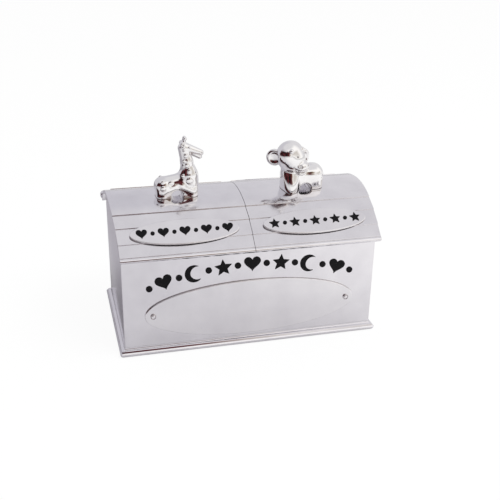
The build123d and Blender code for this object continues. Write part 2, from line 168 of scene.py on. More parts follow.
# Silver plate: hand-buffed and faintly clouded; darker in corners, where an occlusion mask paints shade
# together with the polish that stays there
silverLooks = {
    "silverPlate": {
        "dark": (0.750, 0.735, 0.765),
        "light": (0.825, 0.812, 0.838),
        "tarnishAndShade": (0.34, 0.30, 0.29),
        "smooth": 0.085,
        "rough": 0.150,
        "wave": 0.012,
        "scratch": 0.0006,
    },
    "silverTrim": {
        "dark": (0.775, 0.760, 0.785),
        "light": (0.845, 0.832, 0.850),
        "tarnishAndShade": (0.26, 0.21, 0.19),
        "smooth": 0.070,
        "rough": 0.130,
        "wave": 0.006,
        "scratch": 0.0005,
    },
    "silverCast": {
        "dark": (0.845, 0.835, 0.840),
        "light": (0.900, 0.893, 0.885),
        "tarnishAndShade": (0.30, 0.24, 0.20),
        "smooth": 0.035,
        "rough": 0.075,
        "wave": 0.010,
        "scratch": 0.0003,
    },
}


def silver(name, look):
    material, tree = newMaterial(name)
    plain = millimetres(tree)
    cloud = noise(tree, plain, 0.11, 3.0)
    tone = ramp(tree, cloud, [(0.30, look["dark"]), (0.72, look["light"])])
    # painted shade: an occlusion mask darkens corners and crevices towards the tarnish-and-shade colour,
    # partly polish residue, partly shade
    corner = addNode(tree, "ShaderNodeAmbientOcclusion", {"Distance": 0.5 * mm}, samples=4, only_local=False)
    cleanUnshaded = ramp(tree, corner.outputs["AO"], [(0.25, (0.0, 0.0, 0.0)), (0.62, (1.0, 1.0, 1.0))])
    colour = blendTones(tree, cleanUnshaded, look["tarnishAndShade"], tone)
    buffed = noise(tree, millimetres(tree, (0.25, 0.25, 5.0), (0.3, 0.5, 0.2)), 1.4, 4.0, 0.65)
    polish = noise(tree, plain, 0.5, 4.0, 0.6)
    gloss = glossOf(tree, weighted(tree, buffed, 0.5, polish), look)
    waves = bump(tree, noise(tree, plain, 0.16, 1.0), look["wave"])
    surface = bump(tree, buffed, look["scratch"], 1.0, waves)
    finishTree(tree, {"Base Color": colour, "Metallic": 1.0, "Roughness": gloss, "Normal": surface})
    return material


# Black enamel, flooded in and fired: near-black with a soft orange-peel gloss
enamelLook = {
    "deep": (0.003, 0.003, 0.004),
    "thin": (0.008, 0.007, 0.008),
    "smooth": 0.10,
    "rough": 0.22,
    "ripple": 0.012,
}


def enamel(name, look):
    material, tree = newMaterial(name)
    plain = millimetres(tree)
    tone = ramp(tree, noise(tree, plain, 0.9, 3.0), [(0.35, look["deep"]), (0.75, look["thin"])])
    gloss = glossOf(tree, noise(tree, plain, 2.2, 3.0), look)
    surface = bump(tree, noise(tree, plain, 1.1, 2.0), look["ripple"])
    finishTree(tree, {"Base Color": tone, "Roughness": gloss, "Normal": surface, "Specular IOR Level": 0.12})
    return material


# Drawn steel of the rod and the screws, brushed along the rod
steelLook = {
    "dark": (0.36, 0.36, 0.37),
    "light": (0.56, 0.56, 0.57),
    "smooth": 0.22,
    "rough": 0.38,
    "grain": 0.0015,
}


def steel(name, look):
    material, tree = newMaterial(name)
    drawn = noise(tree, millimetres(tree, (0.15, 3.0, 3.0)), 1.6, 4.0, 0.6)
    tone = ramp(tree, drawn, [(0.30, look["dark"]), (0.70, look["light"])])
    gloss = glossOf(tree, drawn, look)
    surface = bump(tree, drawn, look["grain"])
    finishTree(tree, {"Base Color": tone, "Metallic": 1.0, "Roughness": gloss, "Normal": surface})
    return material


# Velvet with a pile that leans in patches
velvetLook = {
    "shade": (0.006, 0.010, 0.040),
    "pile": (0.020, 0.034, 0.120),
    "sheen": (0.42, 0.52, 0.85, 1.0),
    "depth": 0.12,
}


def velvet(name, look):
    material, tree = newMaterial(name)
    plain = millimetres(tree)
    lean = noise(tree, plain, 0.16, 3.0, 0.6)
    fibre = noise(tree, plain, 5.5, 2.0, 0.7)
    mixed = weighted(tree, lean, 0.65, fibre)
    tone = ramp(tree, mixed, [(0.36, look["shade"]), (0.66, look["pile"])])
    surface = bump(tree, fibre, look["depth"], 0.8)
    inputs = {
        "Base Color": tone,
        "Roughness": 0.95,
        "Sheen Weight": 0.85,
        "Sheen Roughness": 0.38,
        "Sheen Tint": look["sheen"],
        "Specular IOR Level": 0.2,
        "Normal": surface,
    }
    finishTree(tree, inputs)
    return material


# Pressed felt: short fibres lying every way
feltLook = {"shade": (0.008, 0.010, 0.024), "fibre": (0.045, 0.052, 0.090), "depth": 0.10}


def felt(name, look):
    material, tree = newMaterial(name)
    across = noise(tree, millimetres(tree, (3.2, 0.5, 1.0), (0.0, 0.0, 0.6)), 1.2, 3.0, 0.7)
    along = noise(tree, millimetres(tree, (0.5, 3.2, 1.0), (0.0, 0.0, 0.2)), 1.2, 3.0, 0.7)
    matted = calc(tree, "MAXIMUM", across, along)
    tone = ramp(tree, matted, [(0.45, look["shade"]), (0.75, look["fibre"])])
    surface = bump(tree, matted, look["depth"], 0.9)
    inputs = {
        "Base Color": tone,
        "Roughness": 1.0,
        "Sheen Weight": 0.4,
        "Specular IOR Level": 0.1,
        "Normal": surface,
    }
    finishTree(tree, inputs)
    return material


finishes = {name: silver(name, look) for name, look in silverLooks.items()}
finishes["blackEnamel"] = enamel("blackEnamel", enamelLook)
finishes["drawnSteel"] = steel("drawnSteel", steelLook)
finishes["blueVelvet"] = velvet("blueVelvet", velvetLook)
finishes["blueFelt"] = felt("blueFelt", feltLook)
print("finishes made:", ", ".join(finishes))


# Mesh helpers: places are in millimetres until the mesh is made
def newPiece(name, points, faces, finish):
    mesh = bpy.data.meshes.new(name)
    mesh.from_pydata([tuple(np.asarray(p, float) * mm) for p in points], [], faces)
    mesh.materials.append(finishes[finish])
    return addObject(name, mesh)


def mendMesh(piece, near=0.0005):
    edit = bmesh.new()
    edit.from_mesh(piece.data)
    bmesh.ops.remove_doubles(edit, verts=edit.verts, dist=near * mm)
    bmesh.ops.dissolve_degenerate(edit, edges=edit.edges, dist=near * mm)
    bmesh.ops.recalc_face_normals(edit, faces=edit.faces)
    edit.to_mesh(piece.data)
    edit.free()
    piece.data.update()


def applyModifiers(piece):
    graph = bpy.context.evaluated_depsgraph_get()
    mesh = bpy.data.meshes.new_from_object(
        piece.evaluated_get(graph), preserve_all_data_layers=True, depsgraph=graph
    )
    piece.modifiers.clear()
    old = piece.data
    piece.data = mesh
    mesh.name = piece.name
    if old.users == 0:
        bpy.data.meshes.remove(old)


def smoothFaces(piece, sharpFrom=None):
    faces = piece.data.polygons
    faces.foreach_set("use_smooth", [True] * len(faces))
    if sharpFrom:
        piece.data.set_sharp_from_angle(angle=math.radians(sharpFrom))


def roundEdges(piece, width, segments, angle):
    smoothFaces(piece)
    edges = piece.modifiers.new("roundedEdges", "BEVEL")
    edges.width = width * mm
    edges.segments = segments
    edges.limit_method = "ANGLE"
    edges.angle_limit = math.radians(angle)
    edges.harden_normals = True
    applyModifiers(piece)


def place(piece, body, finish, node):
    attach(piece, body)
    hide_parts(node)


def joinPieces(name, pieces):
    edit = bmesh.new()
    for piece in pieces:
        edit.from_mesh(piece.data)
    mesh = bpy.data.meshes.new(name)
    edit.to_mesh(mesh)
    edit.free()
    for material in pieces[0].data.materials:
        mesh.materials.append(material)
    joined = addObject(name, mesh)
    for piece in pieces:
        bpy.data.objects.remove(piece)
    return joined


# Rings of equally many points, joined into a closed skin; each end is closed with one face
def skinRings(name, rings, finish):
    count = len(rings[0])
    points = [p for ring in rings for p in ring]
    faces = []
    for level in range(len(rings) - 1):
        for i in range(count):
            j = (i + 1) % count
            a, b = level * count, (level + 1) * count
            faces.append((a + i, a + j, b + j, b + i))
    last = (len(rings) - 1) * count
    faces += [tuple(range(count)), tuple(range(last, last + count))]
    piece = newPiece(name, points, faces, finish)
    mendMesh(piece)
    return piece


def roundedRectangle(halfX, halfY, radius, segments, z, middle):
    radius = max(min(radius, halfX, halfY), 0.001)
    ring = []
    for corner, (sx, sy) in enumerate(((1, -1), (1, 1), (-1, 1), (-1, -1))):
        for i in range(segments + 1):
            turn = math.radians(-90 + 90 * corner + 90 * i / segments)
            x = sx * (halfX - radius) + radius * math.cos(turn)
            y = sy * (halfY - radius) + radius * math.sin(turn)
            ring.append((middle[0] + x, middle[1] + y, z))
    return ring


# Rings around one rounded rectangle, each drawn in by its inset
def ringMaker(halfX, halfY, segments, middle=(0.0, 0.0)):
    def ring(inset, radius, z):
        return roundedRectangle(halfX - inset, halfY - inset, radius, segments, z, middle)

    return ring


# Copy of a CAD node with merged corners and softly rounded edges
softening = {"merge": 0.002, "flat": 0.5, "segments": 2, "roundFrom": 35.0}


def dressCopy(node, finish, width, shape):
    piece = addObject(node + "_dressed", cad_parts[node].data.copy())
    piece.data.materials.clear()
    piece.data.materials.append(finishes[finish])
    edit = bmesh.new()
    edit.from_mesh(piece.data)
    bmesh.ops.remove_doubles(edit, verts=edit.verts, dist=shape["merge"] * mm)
    flat = math.radians(shape["flat"])
    bmesh.ops.dissolve_limit(edit, angle_limit=flat, verts=edit.verts, edges=edit.edges)
    edit.to_mesh(piece.data)
    edit.free()
    if piece.data.has_custom_normals:
        piece.data.attributes.remove(piece.data.attributes["custom_normal"])
    roundEdges(piece, width, shape["segments"], shape["roundFrom"])
    return piece


# Roof that the lids follow, seen from the end
roof = {"radius": 40.0, "centreY": -0.5, "centreZ": 16.2}


def onRoof(radius, degrees):
    turn = math.radians(degrees)
    return (roof["centreY"] - radius * math.sin(turn), roof["centreZ"] + radius * math.cos(turn))


# Middle of each lid, from the box's middle to the right
lidMiddles = {"tooth": -25.325, "curl": 25.325}

# Lids: one skin each, with overlapping courses and a beaded lip below a fine groove
lidShape = {
    "thickness": 1.5,
    "firstCourse": 20.7,
    "courseAngle": 10.0,
    "courses": 3,
    "step": 0.35,
    "lipHeight": 1.6,
    "bead": 0.2,
    "beadPower": 0.7,
    "beadSteps": 10,
    "grooveStart": 0.04,
    "grooveDepth": 0.20,
    "grooveRun": 0.25,
    "frontDrop": 0.25,
    "arcStep": 1.25,
    "edge": 0.11,
    "edgeSegments": 2,
    "edgeFrom": 28.0,
    "seam": 0.06,
    "flare": 1.1,
    "flareFrom": 46.0,
    "flareTo": -4.0,
}


def lidOutline(shape, backAngle):
    outer = roof["radius"]
    inner = outer - shape["thickness"]
    first = shape["firstCourse"]
    frontAngle = first + shape["courses"] * shape["courseAngle"]
    lipAngle = frontAngle - math.degrees(shape["lipHeight"] / outer)
    steps = round((first - backAngle) / shape["arcStep"])
    outline = [onRoof(outer, backAngle + (first - backAngle) * i / steps) for i in range(steps + 1)]
    for i in range(shape["courses"]):
        top = first + i * shape["courseAngle"]
        foot = top + shape["courseAngle"]
        outline.append(onRoof(outer - shape["step"], top))
        if i < shape["courses"] - 1:
            outline.append(onRoof(outer, foot))
    groove = outer - shape["grooveDepth"]
    outline.append(onRoof(outer - shape["grooveStart"], lipAngle - shape["grooveRun"]))
    outline.append(onRoof(groove, lipAngle))
    for i in range(1, shape["beadSteps"]):
        share = i / shape["beadSteps"]
        angle = lipAngle + (frontAngle - lipAngle) * (0.5 - 0.5 * math.cos(math.pi * share))
        swell = math.sin(math.pi * share) ** shape["beadPower"]
        outline.append(onRoof(groove + (shape["bead"] + shape["grooveDepth"]) * swell, angle))
    outline.append(onRoof(outer - shape["frontDrop"], frontAngle))
    steps = round((frontAngle - backAngle) / (2 * shape["arcStep"]))
    outline += [onRoof(inner, frontAngle + (backAngle - frontAngle) * i / steps) for i in range(steps + 1)]
    return outline


# The inner end stops at the seam, and the outer end leans out towards the crest, as in the photograph
def endOf(x, y, z, shape):
    if abs(x) < 1.0:
        return math.copysign(shape["seam"], x)
    angle = math.degrees(math.atan2(roof["centreY"] - y, z - roof["centreZ"]))
    share = min(max((shape["flareFrom"] - angle) / (shape["flareFrom"] - shape["flareTo"]), 0.0), 1.0)
    return x + math.copysign(shape["flare"] * share * share * (3 - 2 * share), x)


def makeLid(lid, shape):
    node = f"{lid}_lid_shell"
    low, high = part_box(node)
    backAngle = -math.degrees(math.asin((high.y / mm - roof["centreY"]) / roof["radius"]))
    outline = lidOutline(shape, backAngle)
    rings = [[(endOf(x / mm, y, z, shape), y, z) for y, z in outline] for x in (low.x, high.x)]
    piece = skinRings(f"{lid}Lid", rings, "silverPlate")
    roundEdges(piece, shape["edge"], shape["edgeSegments"], shape["edgeFrom"])
    place(piece, f"{lid}_lid", "silverPlate", node)


for lid in lidMiddles:
    makeLid(lid, lidShape)
print("lids made")

# Walls, divider, hinges and the figures' screws keep their CAD shapes and get softened edges
dressed = {
    "body_shell": ("box", "silverPlate", 0.10),
    "divider": ("box", "silverPlate", 0.10),
    "hinge_rod": ("box", "drawnSteel", 0.10),
    "tooth_fixed_leaf": ("box", "silverTrim", 0.08),
    "curl_fixed_leaf": ("box", "silverTrim", 0.08),
    "tooth_lid_leaf": ("tooth_lid", "silverTrim", 0.08),
    "curl_lid_leaf": ("curl_lid", "silverTrim", 0.08),
    "giraffe_screws": ("tooth_lid", "drawnSteel", 0.07),
    "bear_cub_screws": ("curl_lid", "drawnSteel", 0.07),
}
for node, (body, finish, width) in dressed.items():
    place(dressCopy(node, finish, width, softening), body, finish, node)
# the base's own screws only take their finish
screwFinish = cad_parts["base_screws"].data.materials
screwFinish.clear()
screwFinish.append(finishes["drawnSteel"])
print("walls and hinges dressed")

# Base moulding: quarter round under the tip, a sloped shoulder, a small riser, then a cove up to the walls
baseShape = {
    "foot": 1.10,
    "tip": 1.90,
    "top": 0.02,
    "tipZ": 1.48,
    "shoulder": (1.55, 1.93),
    "riserFoot": (1.42, 1.93),
    "riserHead": (1.22, 2.43),
    "coveTop": 3.15,
    "corner": 0.35,
    "cornerGain": 0.25,
    "cornerSteps": 8,
    "coveSteps": 14,
    "roundSteps": 10,
    "recess": 3.0,
    "recessTop": 1.20,
    "recessCorner": 1.5,
    "recessEdge": 0.1,
    "rimInset": 1.6,
    "rimCorner": 0.3,
    "sharpFrom": 20,
}


def baseProfile(shape, bottom, top):
    profile = []
    for i in range(shape["roundSteps"] + 1):
        turn = math.pi / 2 * i / shape["roundSteps"]
        out = shape["foot"] + (shape["tip"] - shape["foot"]) * math.sin(turn)
        profile.append((out, shape["tipZ"] - (shape["tipZ"] - bottom) * math.cos(turn)))
    profile += [shape["shoulder"], shape["riserFoot"]]
    start, low = shape["riserHead"]
    for i in range(shape["coveSteps"] + 1):
        turn = math.pi / 2 * i / shape["coveSteps"]
        out = start - (start - shape["top"]) * math.sin(turn)
        profile.append((out, shape["coveTop"] - (shape["coveTop"] - low) * math.cos(turn)))
    profile.append((shape["top"], top))
    return profile


def makeBase(shape):
    low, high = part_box("base_moulding")
    bottom, top = low.z / mm, high.z / mm
    recess, corner, edge = shape["recess"], shape["recessCorner"], shape["recessEdge"]
    ring = ringMaker(high.x / mm - shape["tip"], high.y / mm - shape["tip"], shape["cornerSteps"])
    rings = [
        ring(recess, corner, shape["recessTop"]),
        ring(recess, corner, bottom + edge),
        ring(recess - edge, corner + edge, bottom),
    ]
    for out, z in baseProfile(shape, bottom, top):
        rings.append(ring(-out, shape["corner"] + max(out, 0) * shape["cornerGain"], z))
    rings.append(ring(shape["rimInset"], shape["rimCorner"], top))
    base = skinRings("baseMoulding", rings, "silverPlate")
    smoothFaces(base, shape["sharpFrom"])
    place(base, "box", "silverPlate", "base_moulding")


makeBase(baseShape)

# Felt pad in the recess: insets of its edge rings, with depths under the top and heights over the foot
padShape = {
    "topEdge": ((0.5, 0.0), (0.12, 0.1), (0.0, 0.3)),
    "footEdge": ((0.0, 0.3), (0.15, 0.08)),
    "footRings": (0.6, 6.0, 12.0, 18.0),
    "corner": 1.5,
    "cornerLoss": 0.05,
    "leastCorner": 0.6,
    "cornerSteps": 8,
    "sharpFrom": 60,
}


def makeFelt(shape):
    low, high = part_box("base_felt")
    bottom, top, corner = low.z / mm, high.z / mm, shape["corner"]
    ring = ringMaker(high.x / mm, high.y / mm, shape["cornerSteps"])
    rings = [ring(inset, corner, top - depth) for inset, depth in shape["topEdge"]]
    rings += [ring(inset, corner, bottom + lift) for inset, lift in shape["footEdge"]]
    for inset in shape["footRings"]:
        rings.append(ring(inset, max(corner - inset * shape["cornerLoss"], shape["leastCorner"]), bottom))
    pad = skinRings("baseFelt", rings, "blueFelt")
    smoothFaces(pad, shape["sharpFrom"])
    place(pad, "box", "blueFelt", "base_felt")


makeFelt(padShape)
print("base made")

# Velvet trays: thin walls with a rolled rim and a softly crowned floor
trayShape = {
    "wall": 1.0,
    "floor": 1.2,
    "footEdge": ((0.6, 0.0), (0.1, 0.2), (0.0, 0.8)),
    "corner": 2.5,
    "leastCorner": 0.5,
    "cornerSteps": 10,
    "rimSteps": 8,
    "fillet": 1.4,
    "filletSteps": 5,
    "crown": 1.1,
    "crownPower": 2.4,
    "crownCorner": 7.0,
    "crownSteps": 15,
}


def makeTray(lid, shape):
    node = f"{lid}_lining"
    low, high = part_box(node)
    middle = ((low.x + high.x) / 2 / mm, (low.y + high.y) / 2 / mm)
    halfX, halfY = (high.x - low.x) / 2 / mm, (high.y - low.y) / 2 / mm
    bottom, top = low.z / mm, high.z / mm
    wall, fillet, corner, least = shape["wall"], shape["fillet"], shape["corner"], shape["leastCorner"]
    ring = ringMaker(halfX, halfY, shape["cornerSteps"], middle)
    rings = [ring(inset, corner - inset, bottom + lift) for inset, lift in shape["footEdge"]]
    half = wall / 2
    for i in range(shape["rimSteps"] + 1):
        turn = math.pi * i / shape["rimSteps"]
        inset = half - half * math.cos(turn)
        rings.append(ring(inset, corner - inset, top - half + half * math.sin(turn)))
    floor = bottom + shape["floor"]
    for i in range(shape["filletSteps"] + 1):
        turn = math.pi / 2 * i / shape["filletSteps"]
        inset = wall + fillet - fillet * math.cos(turn)
        rings.append(ring(inset, max(corner - inset, least), floor + fillet - fillet * math.sin(turn)))
    span = min(halfX, halfY) - wall - fillet
    for i in range(1, shape["crownSteps"]):
        share = i / shape["crownSteps"]
        inset = wall + fillet + span * share
        lift = shape["crown"] * (1 - (1 - share) ** shape["crownPower"])
        rings.append(ring(inset, max(corner - inset, least) + shape["crownCorner"] * share, floor + lift))
    tray = skinRings(f"{lid}Tray", rings, "blueVelvet")
    smoothFaces(tray)
    place(tray, "box", "blueVelvet", node)


for lid in lidMiddles:
    makeTray(lid, trayShape)
print("trays made")


# Oval plates with a rounded front edge, each on an origin and its directions right, up and outwards
plateShape = {"thickness": 0.7, "edge": 0.34, "edgeSteps": 7, "footEdge": 0.05, "segments": 192}
nameplateShape = {"halfWidth": 41.8, "halfHeight": 11.5, "z": 16.2, "rivetX": 38.7}
plaqueShape = {"halfWidth": 20.7, "halfHeight": 5.4, "angle": 35.7, "lift": 0.05}
plaqueRadius = roof["radius"] * math.cos(math.radians(lidShape["courseAngle"] / 2)) + plaqueShape["lift"]
wallY = 26.7  # front and back walls, from the middle


def slopeFrame(x, radius, degrees):
    y, z = onRoof(radius, degrees)
    turn = math.radians(degrees)
    out = (0.0, -math.sin(turn), math.cos(turn))
    up = (0.0, math.cos(turn), math.sin(turn))
    return (np.array((x, y, z)), np.array((1.0, 0.0, 0.0)), np.array(up), np.array(out))


def frontFrame(z):
    return (np.array((0, -wallY, z)), np.array((1.0, 0, 0)), np.array((0, 0, 1.0)), np.array((0, -1.0, 0)))


def ovalPlate(name, node, body, where, size, shape):
    origin, right, up, out = where
    halfWidth, halfHeight = size["halfWidth"], size["halfHeight"]
    thickness, edge, foot = shape["thickness"], shape["edge"], shape["footEdge"]

    def ring(inset, lift):
        points = []
        for i in range(shape["segments"]):
            turn = 2 * math.pi * i / shape["segments"]
            # inset along the ellipse's own normal
            nx, ny = math.cos(turn) / halfWidth, math.sin(turn) / halfHeight
            slope = math.hypot(nx, ny)
            u = halfWidth * math.cos(turn) - inset * nx / slope
            v = halfHeight * math.sin(turn) - inset * ny / slope
            points.append(origin + u * right + v * up + lift * out)
        return points

    rings = [ring(foot, 0.0), ring(0.0, foot), ring(0.0, thickness - edge)]
    for i in range(1, shape["edgeSteps"] + 1):
        turn = math.pi / 2 * i / shape["edgeSteps"]
        rings.append(ring(edge - edge * math.cos(turn), thickness - edge + edge * math.sin(turn)))
    plate = skinRings(name, rings, "silverTrim")
    for face in plate.data.polygons:
        face.use_smooth = len(face.vertices) == 4
    place(plate, body, "silverTrim", node)


where = frontFrame(nameplateShape["z"])
ovalPlate("frontNameplate", "front_nameplate", "box", where, nameplateShape, plateShape)
for lid, middle in lidMiddles.items():
    where = slopeFrame(middle, plaqueRadius, plaqueShape["angle"])
    ovalPlate(f"{lid}Plaque", f"{lid}_plaque", f"{lid}_lid", where, plaqueShape, plateShape)
print("plates made")

# Enamel motifs: each outline is about 1 across at most, and takes its size when it is cut
motifShape = {
    "size": 7.0,
    "plaqueSize": 4.4,
    "thickness": 0.3,
    "edge": 0.07,
    "edgeSteps": 2,
    "merge": 0.002,
    "heartSteps": 72,
    "starInner": 0.47,
    "moonBite": 0.80,
    "moonShift": 0.42,
    "moonSteps": (48, 40),
    "dotRadius": 0.18,
    "dotSteps": 32,
}
frontArc = {"count": 15, "reach": 39.8, "halfWidth": 52.0, "halfHeight": 18.0}
plaqueRow = {"count": 9, "reach": 16.2, "halfWidth": 40.0, "halfHeight": 0.0}
plaqueMotif = {"tooth": "heart", "curl": "star"}


def heartOutline(steps):
    points = []
    for i in range(steps):
        t = 2 * math.pi * i / steps
        x = 16 * math.sin(t) ** 3
        y = 13 * math.cos(t) - 5 * math.cos(2 * t) - 2 * math.cos(3 * t) - math.cos(4 * t)
        points.append((x / 34, (y + 2.5) / 34))
    return points


def starOutline(inner):
    points = []
    for i in range(10):
        radius = 0.5 * (inner if i % 2 else 1.0)
        turn = math.pi / 2 + math.pi * i / 5
        points.append((radius * math.cos(turn), radius * math.sin(turn)))
    return points


def moonOutline(bite, shift, outerSteps, innerSteps):
    # where the two circles cross
    x = (0.25 - (0.5 * bite) ** 2 + (0.5 * shift) ** 2) / shift
    outerTurn = math.acos(x / 0.5)
    innerTurn = math.acos((x - 0.5 * shift) / (0.5 * bite))
    points = []
    for i in range(outerSteps + 1):
        turn = outerTurn + (2 * math.pi - 2 * outerTurn) * i / outerSteps
        points.append((0.5 * math.cos(turn), 0.5 * math.sin(turn)))
    for i in range(1, innerSteps):
        turn = -innerTurn - (2 * math.pi - 2 * innerTurn) * i / innerSteps
        points.append((0.5 * shift + 0.5 * bite * math.cos(turn), 0.5 * bite * math.sin(turn)))
    return points


def dotOutline(radius, steps):
    turns = [2 * math.pi * i / steps for i in range(steps)]
    return [(radius * math.cos(turn), radius * math.sin(turn)) for turn in turns]


# One motif at the row's origin, face towards -Y, cut from a filled flat curve
def cutMotif(name, outline, size, shape):
    thickness, edge = shape["thickness"], shape["edge"]
    curve = bpy.data.curves.new(name, "CURVE")
    curve.dimensions = "2D"
    curve.fill_mode = "BOTH"
    curve.bevel_depth = edge * mm
    curve.bevel_resolution = shape["edgeSteps"]
    curve.extrude = (thickness / 2 - edge) * mm
    curve.offset = -edge * mm
    spline = curve.splines.new("POLY")
    spline.points.add(len(outline) - 1)
    for point, (x, y) in zip(spline.points, outline):
        point.co = (x * size * mm, y * size * mm, 0.0, 1.0)
    spline.use_cyclic_u = True
    source = addObject(name + "Curve", curve)
    graph = bpy.context.evaluated_depsgraph_get()
    mesh = bpy.data.meshes.new_from_object(source.evaluated_get(graph))
    bpy.data.objects.remove(source)
    mesh.transform(Matrix.Translation((0, -thickness / 2 * mm, 0)) @ Matrix.Rotation(math.pi / 2, 4, "X"))
    motif = addObject(name, mesh)
    mendMesh(motif, shape["merge"])
    return motif


def cutMotifs(size, shape):
    outlines = {
        "heart": heartOutline(shape["heartSteps"]),
        "star": starOutline(shape["starInner"]),
        "moon": moonOutline(shape["moonBite"], shape["moonShift"], *shape["moonSteps"]),
        "dot": dotOutline(shape["dotRadius"], shape["dotSteps"]),
    }
    made = {}
    for label, outline in outlines.items():
        made[label] = cutMotif(f"{label}{round(size * 10)}", outline, size, shape)
    return made


# Geometry Nodes helpers: a tree starts with its named inputs and ends in one painted mesh
def newTree(name, inputs):
    tree = bpy.data.node_groups.new(name, "GeometryNodeTree")
    for label, kind in inputs.items():
        tree.interface.new_socket(name=label, in_out="INPUT", socket_type="NodeSocket" + kind)
    tree.interface.new_socket(name="Geometry", in_out="OUTPUT", socket_type="NodeSocketGeometry")
    return tree, tree.nodes.new("NodeGroupInput").outputs


def endTree(tree, copies, finish):
    real = addNode(tree, "GeometryNodeRealizeInstances", {0: copies}).outputs[0]
    painted = addNode(tree, "GeometryNodeSetMaterial", {"Geometry": real, "Material": finish}).outputs[0]
    addNode(tree, "NodeGroupOutput", {0: painted})
    return tree


def copiesOf(tree, motif, points, turn, **chosen):
    shape = addNode(tree, "GeometryNodeObjectInfo", {"Object": motif}).outputs["Geometry"]
    inputs = {"Points": points, "Instance": shape, "Rotation": turn, **chosen}
    return addNode(tree, "GeometryNodeInstanceOnPoints", inputs).outputs[0]


def socketId(tree, label):
    return next(item.identifier for item in tree.interface.items_tree if item.name == label)


def runTree(name, tree, values, finish):
    piece = addObject(name, bpy.data.meshes.new(name))
    nodes = piece.modifiers.new("build", "NODES")
    nodes.node_group = tree
    for label, value in values.items():
        nodes[socketId(tree, label)] = value
    applyModifiers(piece)
    if not piece.data.materials:
        piece.data.materials.append(finishes[finish])
    return piece


# Geometry Nodes: motifs along an arc, picked in turn from the middle outwards
def arcTree():
    inputs = {
        "Count": "Int",
        "Reach": "Float",
        "Arc half width": "Float",
        "Arc half height": "Float",
        "First motif": "Object",
        "Second motif": "Object",
        "Third motif": "Object",
        "Dot": "Object",
        "Finish": "Material",
    }
    tree, given = newTree("motifArc", inputs)
    index = addNode(tree, "GeometryNodeInputIndex").outputs[0]
    last = calc(tree, "SUBTRACT", given["Count"], 1.0)
    along = calc(tree, "SUBTRACT", calc(tree, "DIVIDE", calc(tree, "MULTIPLY", index, 2.0), last), 1.0)
    x = calc(tree, "MULTIPLY", along, given["Reach"])
    ratio = calc(tree, "DIVIDE", x, given["Arc half width"])
    lean = calc(tree, "SQRT", calc(tree, "SUBTRACT", 1.0, calc(tree, "MULTIPLY", ratio, ratio)))
    z = calc(tree, "MULTIPLY", given["Arc half height"], lean)
    rise = calc(tree, "MULTIPLY", given["Arc half height"], ratio)
    run = calc(tree, "MULTIPLY", given["Arc half width"], lean)
    turn = calc(tree, "ARCTANGENT", calc(tree, "DIVIDE", rise, run))
    spot = addNode(tree, "ShaderNodeCombineXYZ", {"X": x, "Z": z}).outputs[0]
    spin = addNode(tree, "ShaderNodeCombineXYZ", {"Y": turn}).outputs[0]
    start = {"Count": given["Count"], "Offset": (0.0, 0.0, 0.0)}
    line = addNode(tree, "GeometryNodeMeshLine", start).outputs[0]
    row = addNode(tree, "GeometryNodeSetPosition", {"Geometry": line, "Position": spot}).outputs[0]
    middle = calc(tree, "FLOOR", calc(tree, "DIVIDE", given["Count"], 2.0))
    step = calc(tree, "ABSOLUTE", calc(tree, "SUBTRACT", index, middle))
    kind = calc(tree, "MODULO", step, 6.0)
    odd = calc(tree, "MODULO", step, 2.0)
    joined = addNode(tree, "GeometryNodeJoinGeometry")
    picks = (
        ("First motif", calc(tree, "COMPARE", kind, 0.0)),
        ("Second motif", calc(tree, "COMPARE", kind, 2.0)),
        ("Third motif", calc(tree, "COMPARE", kind, 4.0)),
        ("Dot", calc(tree, "COMPARE", odd, 1.0)),
    )
    for label, chosen in picks:
        chosen.node.inputs[2].default_value = 0.5
        copies = copiesOf(tree, given[label], row, spin, Selection=chosen)
        tree.links.new(copies, joined.inputs[0])
    return endTree(tree, joined.outputs[0], given["Finish"])


motifArc = arcTree()


def motifRow(name, node, body, motifs, arc, where):
    values = {
        "Count": arc["count"],
        "Reach": arc["reach"] * mm,
        "Arc half width": arc["halfWidth"] * mm,
        "Arc half height": arc["halfHeight"] * mm,
        "Finish": finishes["blackEnamel"],
    }
    values.update(zip(("First motif", "Second motif", "Third motif", "Dot"), motifs))
    row = runTree(name, motifArc, values, "blackEnamel")
    row.data.transform(where)
    place(row, body, "blackEnamel", node)


bigMotifs = cutMotifs(motifShape["size"], motifShape)
smallMotifs = cutMotifs(motifShape["plaqueSize"], motifShape)
where = Matrix.Translation((0.0, -wallY * mm, nameplateShape["z"] * mm))
motifRow("frontMotifs", "front_motifs", "box", bigMotifs.values(), frontArc, where)
plaqueTurn = Matrix.Rotation(-math.radians(90 - plaqueShape["angle"]), 4, "X")
plaqueY, plaqueZ = onRoof(plaqueRadius + plateShape["thickness"], plaqueShape["angle"])
for lid, middle in lidMiddles.items():
    motif = smallMotifs[plaqueMotif[lid]]
    motifs = (motif, motif, motif, smallMotifs["dot"])
    where = Matrix.Translation((middle * mm, plaqueY * mm, plaqueZ * mm)) @ plaqueTurn
    motifRow(f"{lid}Motifs", f"{lid}_plaque_motifs", f"{lid}_lid", motifs, plaqueRow, where)
for motif in (*bigMotifs.values(), *smallMotifs.values()):
    bpy.data.objects.remove(motif)
print("motifs made")


# Turned pieces: outline of (radius, height) about +Z, drawn to a point at its ends
turning = {"tip": 0.0005, "sharpFrom": 50}


def turned(name, outline, segments):
    turns = [2 * math.pi * i / segments for i in range(segments)]
    rings = []
    for radius, height in outline:
        radius = max(radius, turning["tip"])
        rings.append([(radius * math.cos(turn), radius * math.sin(turn), height) for turn in turns])
    piece = skinRings(name, rings, "silverTrim")
    smoothFaces(piece, turning["sharpFrom"])
    return piece


